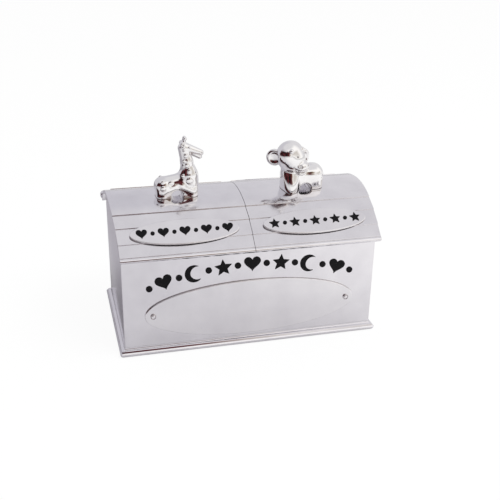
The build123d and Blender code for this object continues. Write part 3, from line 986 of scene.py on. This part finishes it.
# Rivets: the rim gives insets in from the head's edge and shares of its height
leafRivet = {
    "head": 1.15,
    "height": 0.6,
    "shank": 0.7,
    "depth": 2.6,
    "foot": 0.96,
    "rim": ((0.0, 0.12),),
    "domeInset": 0.0,
    "domeFrom": 0.12,
    "domeSteps": 10,
    "segments": 40,
}
plateRivet = {
    "head": 1.1,
    "height": 0.6,
    "shank": 0.7,
    "depth": 2.8,
    "foot": 0.97,
    "rim": ((0.0, 0.05), (0.0, 0.72), (0.05, 0.86), (0.12, 0.88), (0.20, 0.55), (0.28, 0.45), (0.34, 0.50)),
    "domeInset": 0.38,
    "domeFrom": 0.62,
    "domeSteps": 6,
    "segments": 40,
}


def turnRivet(name, shape):
    radius, height, shank, depth = shape["head"], shape["height"], shape["shank"], shape["depth"]
    outline = [(0.0, -depth), (shank, -depth), (shank, 0.0), (radius * shape["foot"], 0.0)]
    outline += [(radius - inset, height * share) for inset, share in shape["rim"]]
    inner, low = radius - shape["domeInset"], shape["domeFrom"]
    for i in range(1, shape["domeSteps"] + 1):
        turn = math.pi / 2 * i / shape["domeSteps"]
        outline.append((inner * math.cos(turn), height * (low + (1 - low) * math.sin(turn))))
    return turned(name, outline, shape["segments"])


# Geometry Nodes: copies of one rivet in a straight row
def rowTree():
    inputs = {
        "Rivet": "Object",
        "Count": "Int",
        "From": "Vector",
        "To": "Vector",
        "Turn": "Vector",
        "Finish": "Material",
    }
    tree, given = newTree("rivetRow", inputs)
    ends = {"Count": given["Count"], "Start Location": given["From"], "Offset": given["To"]}
    line = addNode(tree, "GeometryNodeMeshLine", ends, mode="END_POINTS").outputs[0]
    return endTree(tree, copiesOf(tree, given["Rivet"], line, given["Turn"]), given["Finish"])


rivetRow = rowTree()


def rivets(name, node, body, source, rows, tilt):
    parts = []
    for i, (count, start, end) in enumerate(rows):
        values = {
            "Rivet": source,
            "Count": count,
            "From": [v * mm for v in start],
            "To": [v * mm for v in end],
            "Turn": (tilt, 0.0, 0.0),
            "Finish": finishes["silverTrim"],
        }
        parts.append(runTree(f"{name}Row{i}", rivetRow, values, "silverTrim"))
    place(joinPieces(name, parts), body, "silverTrim", node)


hinge = {
    "y": 28.35,
    "z": 46.24,
    "knuckle": 1.6,
    "gap": 0.05,
    "leaf": 0.7,
    "leafHeight": 8.5,
    "leafDrop": 0.3,
    "lidLeafStart": 0.6,
    "lidLeafLift": 0.1,
    "rivets": 3,
    "rivetReach": 21.175,
}


def leafRow(middle, y, z):
    reach = hinge["rivetReach"]
    return (hinge["rivets"], (middle - reach, y, z), (middle + reach, y, z))


source = turnRivet("plateRivetSource", plateRivet)
plateY = -wallY - plateShape["thickness"]
ends = [(side * nameplateShape["rivetX"], plateY, nameplateShape["z"]) for side in (-1, 1)]
rivets("nameplateRivets", "nameplate_rivets", "box", source, [(2, *ends)], math.pi / 2)
bpy.data.objects.remove(source)

source = turnRivet("rivetSource", leafRivet)
leafY = wallY + hinge["gap"] + hinge["leaf"]
leafZ = hinge["z"] - hinge["knuckle"] - hinge["leafDrop"] - hinge["leafHeight"] / 2
rows = [leafRow(middle, leafY, leafZ) for middle in lidMiddles.values()]
rivets("fixedLeafRivets", "fixed_leaf_rivets", "box", source, rows, -math.pi / 2)
hingeReach = roof["radius"] + hinge["gap"] + hinge["knuckle"]
hingeAngle = -math.degrees(math.asin((hinge["y"] - roof["centreY"]) / hingeReach))
leafEnd = hingeAngle + math.degrees((hinge["knuckle"] + hinge["lidLeafStart"]) / roof["radius"])
leafMiddle = leafEnd + math.degrees(hinge["leafHeight"] / roof["radius"]) / 2
lidLeafPlace = onRoof(roof["radius"] + hinge["lidLeafLift"] + hinge["leaf"], leafMiddle)
for lid, middle in lidMiddles.items():
    rows = [leafRow(middle, *lidLeafPlace)]
    node = f"{lid}_lid_leaf_rivets"
    rivets(f"{lid}LeafRivets", node, f"{lid}_lid", source, rows, math.radians(leafMiddle))
bpy.data.objects.remove(source)

# Rod caps: turned buttons with a small bevel and a bore for the rod
capShape = {
    "radius": 1.8,
    "length": 1.5,
    "round": 1.45,
    "roundSteps": 12,
    "bevel": 0.1,
    "bore": 0.85,
    "boreDepth": 0.9,
    "segments": 48,
}


def makeCaps(shape):
    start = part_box("rod_caps")[1].x / mm - shape["length"]
    radius, curve, bore, bevel = shape["radius"], shape["round"], shape["bore"], shape["bevel"]
    low = shape["length"] - curve
    outline = [(0.0, shape["boreDepth"]), (bore, shape["boreDepth"]), (bore, 0.0)]
    outline += [(radius - bevel, 0.0), (radius, bevel), (radius, low)]
    for i in range(1, shape["roundSteps"] + 1):
        turn = math.pi / 2 * i / shape["roundSteps"]
        outline.append((radius - curve + curve * math.cos(turn), low + curve * math.sin(turn)))
    outline.append((0.0, shape["length"]))
    pair = []
    for side in (-1, 1):
        cap = turned(f"cap{side + 1}", outline, shape["segments"])
        matrix = Matrix.Translation((side * start * mm, hinge["y"] * mm, hinge["z"] * mm))
        cap.data.transform(matrix @ Matrix.Rotation(side * math.pi / 2, 4, "Y"))
        pair.append(cap)
    place(joinPieces("rodCaps", pair), "box", "silverTrim", "rod_caps")


makeCaps(capShape)
print("rivets and caps made")


# Cast animals: soft fields of limbs and balls, skinned and settled onto the exact surface.
# Places are in millimetres: x from the lid's middle to the right, y as in the frame, z above the crest.
figures = {
    "y": -4.0,
    "clearance": 0.03,
    "flankReach": 14,
    "flankSteps": 1400,
    "step": 0.15,
    "quickStep": 0.34,
}
netShape = {"coarse": 4, "near": 1.6, "batch": 200000}
settling = {"rounds": 3, "reach": 0.01, "leastSlope": 0.25, "mostMove": 0.1}


def softUnion(a, b, blend):
    share = np.clip(0.5 + 0.5 * (b - a) / blend, 0.0, 1.0)
    return b + (a - b) * share - blend * share * (1.0 - share)


def turnMatrix(turn):
    return np.array(Euler([math.radians(v) for v in turn]).to_matrix())


def limbField(p, start, startRadius, end, endRadius):
    a, b = np.array(start, float), np.array(end, float)
    along = b - a
    share = np.clip(((p - a) @ along) / (along @ along), 0.0, 1.0)
    radius = startRadius + (endRadius - startRadius) * share
    return np.linalg.norm(p - a - share[:, None] * along, axis=1) - radius


def ballField(p, middle, radii, turn=(0.0, 0.0, 0.0)):
    q = (p - np.array(middle, float)) @ turnMatrix(turn)
    r = np.array(radii, float)
    near = np.linalg.norm(q / r, axis=1)
    steep = np.linalg.norm(q / (r * r), axis=1)
    return near * (near - 1.0) / np.maximum(steep, 1e-9)


def blockField(p, middle, halves, round):
    q = np.abs(p - np.array(middle, float)) - (np.array(halves, float) - round)
    return np.linalg.norm(np.maximum(q, 0.0), axis=1) + np.minimum(q.max(axis=1), 0.0) - round


fieldOf = {
    "limb": limbField,
    "groove": limbField,
    "ball": ballField,
    "hollow": ballField,
    "block": blockField,
}


def animalField(p, strokes):
    field = None
    for kind, shape, blend in strokes:
        value = fieldOf[kind](p, *shape)
        if field is None:
            field = value
        elif kind in ("groove", "hollow"):
            field = -softUnion(-field, value, blend)
        else:
            field = softUnion(field, value, blend)
    # the figure ends just over the roof
    reach = roof["radius"] + figures["clearance"]
    foot = reach - np.hypot(p[:, 1] - roof["centreY"], p[:, 2] + roof["radius"])
    return np.maximum(field, foot)


# Surface net over the cells that the surface crosses, found on a coarse grid first
def netSurface(field, low, high, step):
    coarse = netShape["coarse"]
    counts = [int(math.ceil((h - l) / step / coarse)) * coarse for l, h in zip(low, high)]
    axes = [l + step * np.arange(n + 1) for l, n in zip(low, counts)]
    blocks = [axis[coarse // 2 :: coarse][: n // coarse] for axis, n in zip(axes, counts)]
    grid = np.stack(np.meshgrid(*blocks, indexing="ij"), -1).reshape(-1, 3)
    rough = field(grid).reshape([len(b) for b in blocks])
    near = np.abs(rough) < step * coarse * netShape["near"]
    values = np.repeat(np.repeat(np.repeat(rough, coarse, 0), coarse, 1), coarse, 2)
    mask = np.repeat(np.repeat(np.repeat(near, coarse, 0), coarse, 1), coarse, 2)
    values = np.pad(values, ((0, 1),) * 3, mode="edge")
    mask = np.pad(mask, ((0, 1),) * 3, mode="edge")
    found = np.argwhere(mask)
    exact = np.array(low, float) + found * step
    batches = np.array_split(exact, max(1, len(exact) // netShape["batch"]))
    fine = np.concatenate([field(batch) for batch in batches])
    values[tuple(found.T)] = fine
    inside = values < 0
    corners = np.array([(i, j, k) for i in (0, 1) for j in (0, 1) for k in (0, 1)])
    nx, ny, nz = inside.shape
    total = sum(inside[i : nx - 1 + i, j : ny - 1 + j, k : nz - 1 + k].astype(np.int8) for i, j, k in corners)
    cells = np.argwhere((total > 0) & (total < 8))
    number = -np.ones((nx - 1, ny - 1, nz - 1), int)
    number[tuple(cells.T)] = np.arange(len(cells))
    sums = np.zeros((len(cells), 3))
    hits = np.zeros(len(cells))
    for a in corners:
        for axis in range(3):
            if a[axis]:
                continue
            b = a.copy()
            b[axis] = 1
            va = values[tuple((cells + a).T)]
            vb = values[tuple((cells + b).T)]
            crossed = (va < 0) != (vb < 0)
            share = np.where(crossed, va / np.where(crossed, va - vb, 1.0), 0.0)
            point = cells + a + share[:, None] * (b - a)
            sums += np.where(crossed[:, None], point, 0.0)
            hits += crossed
    points = np.array(low, float) + sums / hits[:, None] * step
    faces = []
    for axis in range(3):
        u, v = (axis + 1) % 3, (axis + 2) % 3
        first = [slice(1, -1)] * 3
        first[axis] = slice(0, -1)
        second = list(first)
        second[axis] = slice(1, None)
        a, b = inside[tuple(first)], inside[tuple(second)]
        edges = np.argwhere(a != b)
        base = edges + 1
        base[:, axis] -= 1
        ids = []
        for du, dv in ((0, 0), (-1, 0), (-1, -1), (0, -1)):
            cell = base.copy()
            cell[:, u] += du
            cell[:, v] += dv
            ids.append(number[tuple(cell.T)])
        quads = np.stack(ids, 1)
        flip = a[tuple(edges.T)]
        quads[~flip] = quads[~flip][:, ::-1]
        faces.append(quads)
    return points, np.concatenate(faces)


def settle(points, field):
    reach, most = settling["reach"], settling["mostMove"]
    for _ in range(settling["rounds"]):
        value = field(points)
        rises = [field(points + reach * axis) - field(points - reach * axis) for axis in np.eye(3)]
        slope = np.stack([rise / (2 * reach) for rise in rises], 1)
        size = np.maximum((slope * slope).sum(1), settling["leastSlope"])
        points = points - np.clip(value / size, -most, most)[:, None] * slope
    return points


def castAnimal(name, node, lid, strokes, shape, step):
    def field(p):
        return animalField(p, strokes)

    points, faces = netSurface(field, shape["low"], shape["high"], step)
    points = settle(points, field)
    points = points + np.array((lidMiddles[lid], 0.0, roof["centreZ"] + roof["radius"]))
    mesh = bpy.data.meshes.new(name)
    mesh.from_pydata((points * mm).tolist(), [], faces.tolist())
    mesh.materials.append(finishes["silverCast"])
    animal = addObject(name, mesh)
    smoothFaces(animal)
    print(name, "faces", len(faces))
    place(animal, f"{lid}_lid", "silverCast", node)


# Point of the surface met on the way in from the front or back
def onFlank(strokes, x, z, side):
    ys = np.linspace(figures["y"] + side * figures["flankReach"], figures["y"], figures["flankSteps"])
    values = animalField(np.stack([np.full_like(ys, x), ys, np.full_like(ys, z)], 1), strokes)
    hit = int(np.argmax(values < 0))
    return (x, float(ys[hit]), z)


# Low and high are the corners of the space that holds the figure
giraffeShape = {
    "spotProud": 0.34,
    "archRadius": 2.3,
    "low": (-10, -10, -3),
    "high": (12.5, 2, 24.5),
}


def giraffeStrokes(shape):
    y = figures["y"]
    strokes = [
        ("block", ((0.35, y, 2.0), (8.2, 3.2, 4.7), 2.4), 0.5),
        ("limb", ((-5.2, y, 4.2), 3.2, (2.0, y, 5.3), 3.2), 0.8),
        ("ball", ((5.5, y, 6.0), (3.3, 3.3, 4.6)), 1.4),
        ("limb", ((5.0, y, 8.6), 3.0, (4.5, y, 13.2), 2.4), 2.6),
        ("limb", ((4.5, y, 13.2), 2.4, (3.2, y, 18.4), 2.0), 0.8),
        ("limb", ((3.5, y, 18.8), 2.05, (9.9, y - 0.1, 16.4), 1.2), 0.6),
        ("limb", ((5.2, y, 17.2), 1.2, (9.5, y - 0.1, 14.9), 1.0), 0.22),
        ("block", ((0.35, y, 1.9), (8.2, 3.2, 2.7), 1.5), 0.4),
    ]
    for s in (-1, 1):
        strokes += [
            # haunch, shin and folded foreleg frame the arch
            ("ball", ((-4.6, y + s * 2.0, 3.9), (3.3, 1.8, 3.1), (0, 25, 0)), 0.6),
            ("limb", ((-5.2, y + s * 1.7, 1.6), 2.0, (-0.9, y + s * 1.8, 3.7), 1.6), 0.9),
            ("limb", ((2.2, y + s * 1.8, 4.0), 1.6, (6.2, y + s * 1.7, 1.8), 2.0), 0.9),
            ("limb", ((3.1, y + s * 0.7, 20.2), 0.8, (3.75, y + s * 0.8, 22.0), 0.55), 0.6),
            ("ball", ((3.85, y + s * 0.85, 22.3), (0.72, 0.72, 0.7)), 0.2),
            ("ball", ((2.75, y + s * 1.6, 20.15), (0.8, 0.75, 1.05), (s * 12, -15, 0)), 0.35),
            ("hollow", ((2.75, y + s * 2.3, 20.25), (0.4, 0.42, 0.6), (s * 12, -15, 0)), 0.15),
        ]
    arch = shape["archRadius"]
    strokes.append(("groove", ((0.2, y - 9, 0.35), arch, (0.2, y + 9, 0.35), arch), 0.35))
    plain = list(strokes)
    spots = (
        (3.9, 16.0, 0.9),
        (3.1, 13.9, 0.7),
        (4.2, 12.2, 0.95),
        (5.0, 9.9, 0.95),
        (2.6, 8.2, 0.8),
        (4.9, 6.3, 1.35),
        (-2.2, 5.7, 1.05),
        (-5.3, 6.2, 0.85),
        (-5.3, 3.9, 1.1),
        (3.1, 18.2, 0.5),
    )
    for x, z, r in spots:
        for s in (-1, 1):
            strokes.append(("ball", (onFlank(plain, x, z, s), (r, shape["spotProud"], r)), 0.12))
    for s in (-1, 1):
        eye = onFlank(plain, 5.3, 19.0, s)
        strokes.append(("ball", (eye, (0.55, 0.38, 0.5)), 0.06))
        nostril = onFlank(plain, 10.1, 16.6, s)
        strokes.append(("hollow", (nostril, (0.32, 0.3, 0.28)), 0.12))
    return strokes


cubShape = {
    "head": (-5.2, -5.2, 13.6),
    "headTilt": (0.0, 4.0, 34.0),
    "archRadius": 2.45,
    "low": (-17, -16, -3),
    "high": (11, 3, 21),
}


def cubStrokes(shape):
    y = figures["y"]
    faceTilt = shape["headTilt"]
    headX, headY, headZ = shape["head"]

    # places on the face: right, forward and up from the middle of the head
    def onFace(right, forward, up):
        return tuple(np.array(shape["head"]) + turnMatrix(faceTilt) @ np.array((right, -forward, up)))

    strokes = [
        ("block", ((0.4, y, 2.9), (8.4, 4.1, 5.5), 3.3), 0.5),
        ("ball", ((4.6, y + 0.3, 4.4), (4.1, 4.0, 4.5)), 1.8),
        ("limb", ((-4.7, y - 0.2, 9.0), 3.3, (-4.7, y - 0.8, 0.5), 3.6), 1.8),
        ("ball", ((-5.0, y - 2.0, 4.8), (3.7, 3.3, 8.0), (-22, 0, 0)), 0.8),
        ("block", ((0.4, y, 2.0), (8.1, 3.9, 2.7), 1.5), 0.5),
        ("limb", ((headX, headY, headZ - 2.2), 4.6, (headX, headY, headZ - 0.8), 4.8), 0.8),
        ("ball", (shape["head"], (6.3, 4.9, 5.6), faceTilt), 0.5),
        ("ball", (onFace(1.2, 1.5, -2.1), (5.5, 4.1, 5.0), faceTilt), 0.9),
        ("ball", (onFace(2.3, 4.9, -4.2), (3.5, 2.4, 2.3), faceTilt), 0.7),
        ("ball", (onFace(2.0, 4.7, -6.8), (2.2, 1.5, 0.9), faceTilt), 0.3),
        ("hollow", (onFace(-1.1, 4.85, 0.3), (0.32, 0.9, 0.32), faceTilt), 0.12),
        ("hollow", (onFace(-0.3, 6.25, -3.6), (0.6, 1.5, 0.7), faceTilt), 0.2),
        ("hollow", (onFace(3.65, 6.9, -3.15), (0.6, 1.5, 0.7), faceTilt), 0.2),
    ]
    for s in (-1, 1):
        strokes += [
            ("ball", (onFace(s * 3.3 - 0.3, 3.6, 2.6), (0.95, 0.8, 0.95), faceTilt), 0.12),
            ("hollow", (onFace(s * 3.1 - 0.3, 4.5, 2.5), (0.28, 0.25, 0.28), faceTilt), 0.08),
        ]
    strokes.append(("hollow", (onFace(2.0, 6.3, -6.1), (1.7, 1.2, 0.32), faceTilt), 0.15))
    # ears: middle, half height, half width, turn of the flat side
    for middle, tall, wide, turn in (
        ((headX - 6.2, headY + 0.1, headZ - 0.7), 3.4, 3.3, -22.0),
        ((headX + 5.6, headY + 0.5, headZ - 1.2), 3.3, 2.7, 12.0),
    ):
        tilt = (0.0, 4.0, turn)
        inward = np.array(middle) + turnMatrix(tilt) @ np.array((0.0, -1.25, 0.0))
        strokes.append(("ball", (middle, (wide, 1.2, tall), tilt), 0.4))
        strokes.append(("hollow", (tuple(inward), (wide * 0.74, 0.95, tall * 0.76), tilt), 0.3))
    arch = shape["archRadius"]
    strokes.append(("groove", ((0.9, y - 12, -0.2), arch, (0.9, y + 9, -0.2), arch), 0.4))
    return strokes


fineness = figures["step"]
castAnimal("giraffe_cast", "giraffe", "tooth", giraffeStrokes(giraffeShape), giraffeShape, fineness)
castAnimal("bear_cub_cast", "bear_cub", "curl", cubStrokes(cubShape), cubShape, fineness)
print("animals cast")


# Floor: white to the camera; to polished metal it shows a painted shadow behind on the left and a painted
# pool of light in front on the right
floorLook = {
    "half": 3.0,
    "tone": (0.86, 0.86, 0.86),
    # painted shadow tone behind on the left, then painted light rising from the middle tone to a painted pool
    # on the right, seen only in reflections
    "left": (0.46, 0.44, 0.48),
    "middle": (0.74, 0.73, 0.75),
    "right": (0.92, 0.91, 0.91),
    "lightSlant": 0.5,
    "lightFade": (0.0, 0.14),
    "shadowFadeX": (-0.045, -0.056),
    "shadowFadeY": (-0.055, -0.005),
    "cameraWhite": 0.90,
    "cameraLevel": 1.02,
}


# Value faded from start to end while another runs from low to high
def fade(tree, value, low, high, start=0.0, end=1.0):
    return mapRange(tree, value, low, high, start, end, interpolation_type="SMOOTHSTEP")


def band(tree, value, low, high, soft):
    rising = fade(tree, value, low - soft, low + soft)
    return calc(tree, "MULTIPLY", rising, fade(tree, value, high - soft, high + soft, 1.0, 0.0))


def makeFloor(look):
    half = look["half"]
    mesh = bpy.data.meshes.new("floor")
    corners = [(-half, -half, 0), (half, -half, 0), (half, half, 0), (-half, half, 0)]
    mesh.from_pydata(corners, [], [(0, 1, 2, 3)])
    floor = addObject("floor", mesh)
    material, tree = newMaterial("paleFloor")
    paths = addNode(tree, "ShaderNodeLightPath").outputs
    spot = addNode(tree, "ShaderNodeTexCoord").outputs["Object"]
    x, y = addNode(tree, "ShaderNodeSeparateXYZ", {0: spot}).outputs[:2]
    # polished metal sees painted light on the floor: a painted shadow of the box behind on the left and a
    # painted pool of light in front on the right
    lightSide = calc(tree, "SUBTRACT", x, calc(tree, "MULTIPLY", y, look["lightSlant"]))
    tone = blendTones(tree, fade(tree, lightSide, *look["lightFade"]), look["middle"], look["right"])
    # share of the painted shadow, behind on the left
    shade = calc(tree, "MULTIPLY", fade(tree, x, *look["shadowFadeX"]), fade(tree, y, *look["shadowFadeY"]))
    tone = blendTones(tree, shade, tone, look["left"])
    tone = blendTones(tree, paths["Is Glossy Ray"], look["tone"], tone)
    lit = addNode(tree, "ShaderNodeBsdfDiffuse", {"Color": tone}).outputs[0]
    glow = {"Color": (1, 1, 1, 1), "Strength": look["cameraLevel"]}
    white = addNode(tree, "ShaderNodeEmission", glow).outputs[0]
    share = calc(tree, "MULTIPLY", paths["Is Camera Ray"], look["cameraWhite"])
    shader = addNode(tree, "ShaderNodeMixShader", {0: share, 1: lit, 2: white}).outputs[0]
    addNode(tree, "ShaderNodeOutputMaterial", {"Surface": shader})
    mesh.materials.append(material)


# White all round for the camera; gloss sees a pale studio with the dark room behind the camera.
# Across is from, to and softness in degrees, height the same as shares, and a fade is from and to.
worldLook = {
    "rightWall": (1.12, 1.10, 1.08),
    "leftWall": (0.54, 0.52, 0.56),
    "wallFade": (-0.75, 0.25),
    "backLeft": (0.655, 0.645, 0.69),
    "backRight": (0.79, 0.78, 0.80),
    "backSideFade": (0.0, 0.42),
    "backFade": (-0.15, 0.35),
    "ceiling": (0.78, 0.77, 0.79),
    "ceilingFade": (0.72, 0.93),
    "haze": (0.40, 0.35, 0.29),
    "hazeShare": 0.6,
    "hazeAcross": (22, 75, 12),
    "hazeHeight": (0.06, 0.40, 0.14),
    "room": (0.012, 0.008, 0.008),
    "roomAcross": (-100, 16, 7),
    "roomHeight": (0.02, 0.64, 0.07),
    "roomRed": (0.12, 0.026, 0.030),
    "redFade": (0.42, 0.60),
    "roomWarm": (0.24, 0.15, 0.08),
    "warmAcross": (10, 26, 4),
    "raggedAcross": 0.5,
    "raggedHeight": 0.22,
    "ambient": 0.72,
}


def makeWorld(look):
    world = bpy.data.worlds.new("studio")
    bpy.context.scene.world = world
    world.use_nodes = True
    tree = world.node_tree
    tree.nodes.clear()
    way = addNode(tree, "ShaderNodeTexCoord").outputs["Generated"]
    x, y, z = addNode(tree, "ShaderNodeSeparateXYZ", {0: way}).outputs[:3]
    azimuth = calc(tree, "ARCTAN2", x, calc(tree, "MULTIPLY", y, -1.0))
    stir = noise(tree, way, 4.0, 3.0, 0.6)
    ragged = calc(tree, "SUBTRACT", stir, 0.5)

    def across(value, limits):
        return band(tree, value, *[math.radians(limit) for limit in limits])

    def shell(color, strength):
        return addNode(tree, "ShaderNodeBackground", {"Color": color, "Strength": strength}).outputs[0]

    bentAzimuth = calc(tree, "ADD", azimuth, calc(tree, "MULTIPLY", ragged, look["raggedAcross"]))
    bentHeight = calc(tree, "ADD", z, calc(tree, "MULTIPLY", ragged, look["raggedHeight"]))
    roomHeight = band(tree, bentHeight, *look["roomHeight"])
    room = calc(tree, "MULTIPLY", across(bentAzimuth, look["roomAcross"]), roomHeight)
    warm = across(azimuth, look["warmAcross"])
    hazeHeight = band(tree, bentHeight, *look["hazeHeight"])
    haze = calc(tree, "MULTIPLY", across(azimuth, look["hazeAcross"]), hazeHeight)
    inside = blendTones(tree, fade(tree, stir, *look["redFade"]), look["room"], look["roomRed"])
    dark = blendTones(tree, warm, inside, look["roomWarm"])
    # brightest towards the window on the right, darker behind and to the left
    sides = blendTones(tree, fade(tree, x, *look["wallFade"]), look["leftWall"], look["rightWall"])
    hazy = blendTones(tree, calc(tree, "MULTIPLY", haze, look["hazeShare"]), sides, look["haze"])
    behind = blendTones(tree, fade(tree, x, *look["backSideFade"]), look["backLeft"], look["backRight"])
    walls = blendTones(tree, fade(tree, y, *look["backFade"]), hazy, behind)
    studio = blendTones(tree, fade(tree, z, *look["ceilingFade"]), walls, look["ceiling"])
    glossy = shell(blendTones(tree, room, studio, dark), 1.0)
    even, white = shell((1, 1, 1, 1), look["ambient"]), shell((1, 1, 1, 1), 1.0)
    paths = addNode(tree, "ShaderNodeLightPath").outputs
    bounced = {0: paths["Is Glossy Ray"], 1: even, 2: glossy}
    indirect = addNode(tree, "ShaderNodeMixShader", bounced).outputs[0]
    direct = {0: paths["Is Camera Ray"], 1: indirect, 2: white}
    seen = addNode(tree, "ShaderNodeMixShader", direct).outputs[0]
    addNode(tree, "ShaderNodeOutputWorld", {"Surface": seen})


lampLook = {"place": (0.35, -0.30, 0.75), "aim": (0.0, 0.0, 0.03), "size": 0.5, "power": 3.2}


def makeLamp(look):
    data = bpy.data.lights.new("keyLamp", "AREA")
    data.shape = "RECTANGLE"
    data.size = look["size"]
    data.size_y = look["size"]
    data.energy = look["power"]
    lamp = addObject("keyLamp", data)
    lamp.location = look["place"]
    way = Vector(look["aim"]) - Vector(look["place"])
    lamp.rotation_euler = way.to_track_quat("-Z", "Y").to_euler()
    lamp.visible_glossy = False
    lamp.visible_camera = False


makeFloor(floorLook)
makeWorld(worldLook)
makeLamp(lampLook)
print("stage set")
